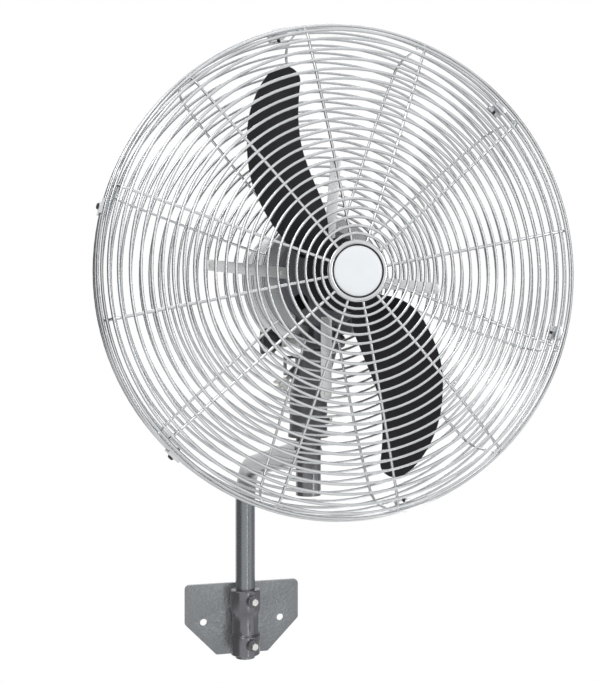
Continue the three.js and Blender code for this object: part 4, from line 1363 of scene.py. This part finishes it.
@dataclass
class GuardClips(Assembly):
    """The six clips that hold the two guards together."""

    count: int = 6
    start: float = 46
    width: float = 22
    belt_inner: float = 380.3
    plate: float = 2
    depth: float = 11
    wall_in: float = 15.98
    block_half: float = 6

    def build(self) -> None:
        """Models one clip and its screw, and copies them round the belt."""
        belt, wall_in, post = self.belt_inner, self.wall_in, self.block_half
        foot, out, wall_out = belt - self.depth, belt + self.plate, wall_in + self.plate
        outline = [
            (foot, -wall_out), (out, -wall_out), (out, wall_out), (foot, wall_out), (foot, wall_in),
            (belt, wall_in), (belt, post), (foot, post), (foot, -post), (belt, -post),
            (belt, -wall_in), (foot, -wall_in)]
        clip = prism([(*spot, -self.width / 2) for spot in outline], (0, 0, self.width))
        eased(clip, 0.7, 2, 50)
        seat = out + CLEARANCE
        head = turned([
            (0, seat), (5, seat), (5, seat + 1), (4.2, seat + 2.6), (2.6, seat + 3.4),
            (0, seat + 3.6)], Axis.X, 32)
        cut(head, *(block((seat + 1.8, -y, -z), (seat + 6, y, z))
                    for y, z in ((0.7, 2.6), (2.6, 0.7))))
        screw = joined(head, rod((foot - 4, 0, 0), (seat + 1, 0, 0), 2.4, 24))
        angles = [self.start + 360 * i / self.count for i in range(self.count)]
        clips, screws = around(clip, angles), around(screw, angles)
        for i, (each, driven) in enumerate(zip(clips, screws), 1):
            self.place(each, f"belt_clip_{i}", CHROME, Body.HEAD, f"guard_clip_{i}")
            self.place(driven, f"belt_clip_screw_{i}", BLACK_PLASTIC, Body.HEAD, f"clip_screw_{i}")


@dataclass
class Cap(Assembly):
    """The plain white cap and the bright plate that holds it."""

    front: float = -82.2
    back: float = -75.2
    radius: float = 37.5
    plate_front: float = -74.9
    plate_back: float = -73.4
    plate_radius: float = 46

    def build(self) -> None:
        """Models the cap and its plate."""
        edge, face = self.radius, self.front
        cap = turned([
            (0, face), (13, face + 0.1), (24, face + 0.45), (31.5, face + 1),
            (edge - 2.4, face + 1.6), (edge - 0.8, face + 2.6), (edge, face + 4.2),
            (edge, self.back), (0, self.back)], Axis.Y, 96)
        self.place(cap, "centre_cap", WHITE_CAP, Body.HEAD, "front_cap")
        front, back, rim = self.plate_front, self.plate_back, self.plate_radius
        plate = turned([
            (0, back), (rim - 0.4, back), (rim, back - 0.4), (rim, front - 2.6),
            (rim - 0.9, front - 4.2), (rim - 2.6, front - 4.9), (rim - 4.6, front - 4.9),
            (rim - 6, front - 4.2), (rim - 6.6, front - 3), (rim - 6.8, front),
            (0, front)], Axis.Y, 96)
        self.place(plate, "cap_bezel", CHROME, Body.HEAD, "cap_plate")
        inner, outer, top = edge + 0.1, rim - 6.9, front - 3.4
        seam = turned([
            (inner, front - CLEARANCE), (outer, front - CLEARANCE), (outer, top),
            (outer - 0.4, top - 0.5), (inner + 0.4, top - 0.5), (inner, top)], Axis.Y, 96)
        self.place(seam, "cap_seam", BLACK_PLASTIC, Body.HEAD, "cap_plate")


@dataclass
class Wheel(Assembly):
    """The fan wheel: hub, two curved blades, nut and shaft."""

    tip: float = 331
    root: float = 32
    thickness: float = 2.5
    hub_face: float = 14
    concave: float = 8
    camber: float = 5
    flat_to: float = 68
    curl_over: float = 40
    taper_from: float = 300
    rivet_spots: tuple = ((51, 119), (51, 143), (38, 131))
    stations: tuple = (
        (32, 118, 144, 0), (46, 112, 150, 0), (68, 106, 154, 2),
        (90, 104, 157, 22), (120, 105.5, 153, 43), (160, 107.5, 145.5, 42),
        (200, 108, 138.5, 40), (240, 106.5, 130.5, 35), (280, 104, 122.5, 27),
        (310, 102, 115.6, 19), (331, 101.5, 112.5, 12))

    def blade(self) -> Piece:
        """One blade: a grid laid over its outline, thickened and rounded."""
        rows, columns = 56, 18
        clear()
        bpy.ops.mesh.primitive_grid_add(x_subdivisions=rows, y_subdivisions=columns, size=2)
        blade = bpy.context.active_object
        places = []
        for vertex in blade.data.vertices:
            share = (vertex.co.x + 1) / 2
            places.append(self.root + (self.tip - self.root) * sin(share * pi / 2) ** 1.15)
        values = eased_rows(self.stations, places)
        for vertex, radius, (start, end, lead) in zip(blade.data.vertices, places, values):
            across = (vertex.co.y + 1) / 2
            middle, half = (start + end) / 2, (end - start) / 2
            if radius > self.taper_from:
                run = (radius - self.taper_from) / (self.tip + 0.6 - self.taper_from)
                half *= sqrt(max(0, 1 - run ** 2))
            share = across * half * 2 / (end - start) + 0.5 - half / (end - start)
            spread = min(1, max(0, (radius - self.flat_to) / self.curl_over))
            seat = self.hub_face - CLEARANCE - self.thickness / 2
            base = seat + (self.concave - seat) * spread
            camber = 4 * self.camber * spread * share * (1 - share)
            vertex.co = polar(radius, middle - half + 2 * half * across,
                              base - lead * share + camber)
        modified(blade, "SOLIDIFY", thickness=self.thickness, offset=0, use_even_offset=True)
        edit(blade)
        return eased(close(blade), 0.8, 3, 50)

    def rivets(self) -> list:
        """The domed rivets at a blade's root."""
        seat = self.hub_face - CLEARANCE - self.thickness
        dome = [(0, -2.4), (1.8, -2.2), (3.6, -1.4), (4.4, 0), (0, 0)]
        return [moved(turned(dome, Axis.Y, 24), polar(*spot, seat)) for spot in self.rivet_spots]

    def build(self) -> None:
        """Models the wheel."""
        hub = turned([
            (8.3, 4), (16, 4), (17, 5), (17, 14), (57, 14), (58, 14.8),
            (58, 16.2), (57, 17), (22, 17), (18.6, 18.6), (17, 22), (17, 37),
            (16, 38), (8.3, 38)], Axis.Y, 96)
        self.place(hub, "hub_disc", CHARCOAL, Body.ROTOR, "blade_hub")
        blade = joined(self.blade(), *self.rivets())
        for twin, name in zip(around(blade, [0, 180]), ("upper", "lower")):
            self.place(twin, f"{name}_fan_blade", CHARCOAL, Body.ROTOR, f"blade_{name}", smooth=40)
        nut = hex_bolt((0, 3.7, 0), (0, -1, 0), across=15, height=11, shank=7, length=0.2)
        cut(nut, rod((0, -20, 0), (0, 8, 0), 8.3, 40))
        self.place(nut, "hub_lock_nut", ZINC, Body.ROTOR, "hub_nut")
        shaft = turned([(0, -16), (6.6, -16), (8, -14.6), (8, 259.5), (0, 259.5)], Axis.Y, 40)
        self.place(shaft, "drive_shaft", ZINC, Body.ROTOR, "motor_shaft")


@dataclass
class Insides:
    """The nodes of the frame that keep their own shape: what is sealed in the motor."""

    finishes: dict = field(default_factory=lambda: {
        "stator_core": LAMINATIONS, "rotor_core": LAMINATIONS, "stator_winding_front": COPPER,
        "stator_winding_rear": COPPER, "bearing_front": ZINC, "bearing_rear": ZINC})

    def dress(self) -> None:
        """Gives each node its finish."""
        for name, finish in self.finishes.items():
            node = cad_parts[name]
            node.data.materials.clear()
            node.data.materials.append(finish.material())
            LOG.info("%s keeps its shape, with %s", name, finish.slot)


# ---------------------------------------------------------------------------- studio
@dataclass
class Studio:
    """The floor, the light and the camera."""

    floor_height: float = -0.9
    floor_radius: float = 3
    floor_back: float = -0.4
    world_light: float = 0.55
    card_table: tuple = (
        ("upper_left", (-1.7, -0.4), 90, 3.6, (0.15, 2.4), 0.08),
        ("upper_right", (1.7, -0.4), 90, 3.6, (0.15, 2.4), 0.08),
        ("lower_left", (-1.7, 0.1), 90, 2.6, (-0.85, 0.15), 0.12),
        ("lower_right", (1.7, 0.2), 90, 2, (-0.85, 0.15), 0.45),
        ("front_right", (1.4, -3.2), 0, 1.3, (-0.88, -0.1), 0.25),
        ("strip", (0.19, -0.85), 13, 0.06, (-0.35, 0.3), 5))
    lamp_table: tuple = (
        ("key", (-2.2, -2.8, 2.6), 1.6, 46), ("fill", (2.6, -2.6, 1.2), 1.4, 30),
        ("back", (0.4, 2.4, 2.6), 1.6, 24))
    lamp_target: tuple = (0, -0.6, 0.6)
    lens: float = 54.13
    sensor: float = 36
    far_clip: float = 60
    camera_place: tuple = (-0.4770, -2.2782, 0.6279)
    camera_turn: float = -15

    def floor(self) -> None:
        """A round pale floor that fades into the white backdrop and keeps the shadow."""
        clear()
        bpy.ops.mesh.primitive_circle_add(
            vertices=96, radius=self.floor_radius, fill_type="NGON",
            location=(0, self.floor_back, self.floor_height))
        floor = applied(bpy.context.active_object)
        floor.name = "studio_floor"
        graph = Graph("studio_floor")
        place = graph.node("ShaderNodeMapping", {}, {
            "Vector": graph.place(), "Location": (0, -self.floor_back, 0)})
        level = graph.node("ShaderNodeVectorMath", {"operation": "MULTIPLY"}, {
            0: place, 1: (1, 1, 0)})
        distance = graph.node("ShaderNodeVectorMath", {"operation": "LENGTH"}, {0: level},
                              out="Value")
        fade = graph.ramp(distance * (1 / self.floor_radius), [(0.35, 0), (0.9, 1)])
        matt = graph.node("ShaderNodeBsdfDiffuse", {}, {"Color": (0.86, 0.86, 0.86, 1)})
        white = graph.node("ShaderNodeEmission", {}, {"Color": WHITE, "Strength": 1})
        floor.data.materials.append(graph.shown(
            graph.node("ShaderNodeMixShader", {}, {0: fade, 1: matt, 2: white})))

    def world(self) -> None:
        """A white backdrop to the eye and to reflections, and a plain level of light."""
        graph = Graph("studio", bpy.data.worlds)
        bpy.context.scene.world = graph.owner
        path = graph.tree.nodes.new("ShaderNodeLightPath")
        eye, gloss, passing = (Field(graph, path.outputs[f"Is {ray} Ray"])
                               for ray in ("Camera", "Glossy", "Transmission"))
        either = {"operation": "MAXIMUM"}
        mirrored = graph.node("ShaderNodeMath", either, {0: gloss, 1: passing})
        seen = graph.node("ShaderNodeMath", either, {0: eye, 1: mirrored})
        light, white = (graph.node("ShaderNodeBackground", {}, {"Color": WHITE, "Strength": level})
                        for level in (self.world_light, 1))
        graph.shown(graph.node("ShaderNodeMixShader", {}, {0: seen, 1: light, 2: white}),
                    "ShaderNodeOutputWorld")

    def cards(self) -> None:
        """Upright cards that only reflections see, so that round metal shows its edges."""
        for name, (x, y), turn, width, (low, high), light in self.card_table:
            clear()
            bpy.ops.mesh.primitive_plane_add(
                size=1, location=(x, y, (low + high) / 2), rotation=(pi / 2, 0, radians(turn)))
            card = bpy.context.active_object
            card.scale = (width, high - low, 1)
            applied(card)
            card.name = f"studio_card_{name}"
            graph = Graph(card.name)
            card.data.materials.append(graph.shown(graph.node("ShaderNodeEmission", {}, {
                "Color": WHITE, "Strength": light})))
            card.visible_camera = card.visible_diffuse = card.visible_shadow = False
            card.visible_transmission = False

    def lamps(self) -> None:
        """The square soft lamps, which face the fan."""
        for name, place, size, power in self.lamp_table:
            clear()
            bpy.ops.object.light_add(type="AREA", location=place)
            lamp = bpy.context.active_object
            lamp.name = name
            lamp.data.size = size
            lamp.data.energy = power
            run = Vector(self.lamp_target) - Vector(place)
            lamp.rotation_euler = run.to_track_quat("-Z", "Y").to_euler()

    def camera(self) -> None:
        """The camera at the photograph's place."""
        bpy.ops.object.camera_add(
            location=self.camera_place, rotation=(pi / 2, 0, radians(self.camera_turn)))
        camera = bpy.context.active_object
        camera.data.lens = self.lens
        camera.data.sensor_width = self.sensor
        camera.data.sensor_fit = "AUTO"
        camera.data.clip_end = self.far_clip
        bpy.context.scene.camera = camera

    def build(self) -> None:
        """Sets up the studio."""
        self.floor()
        self.world()
        self.cards()
        self.lamps()
        self.camera()
        bpy.context.scene.view_settings.view_transform = "Standard"


def main() -> None:
    """Builds the fan, sub-assembly by sub-assembly, and its studio."""
    logging.basicConfig(level=logging.INFO, format="%(message)s")
    Studio().build()
    WallBracket(WALL_BASE).build()
    PipeArm(WALL_BASE).build()
    Collar().build()
    Neck().build()
    Motor().build()
    Spider().build()
    WireGuard(side=Side.REAR).build()
    Wheel().build()
    WireGuard(side=Side.FRONT).build()
    GuardClips().build()
    Cap().build()
    Insides().dress()


if __name__ == "__main__":
    main()
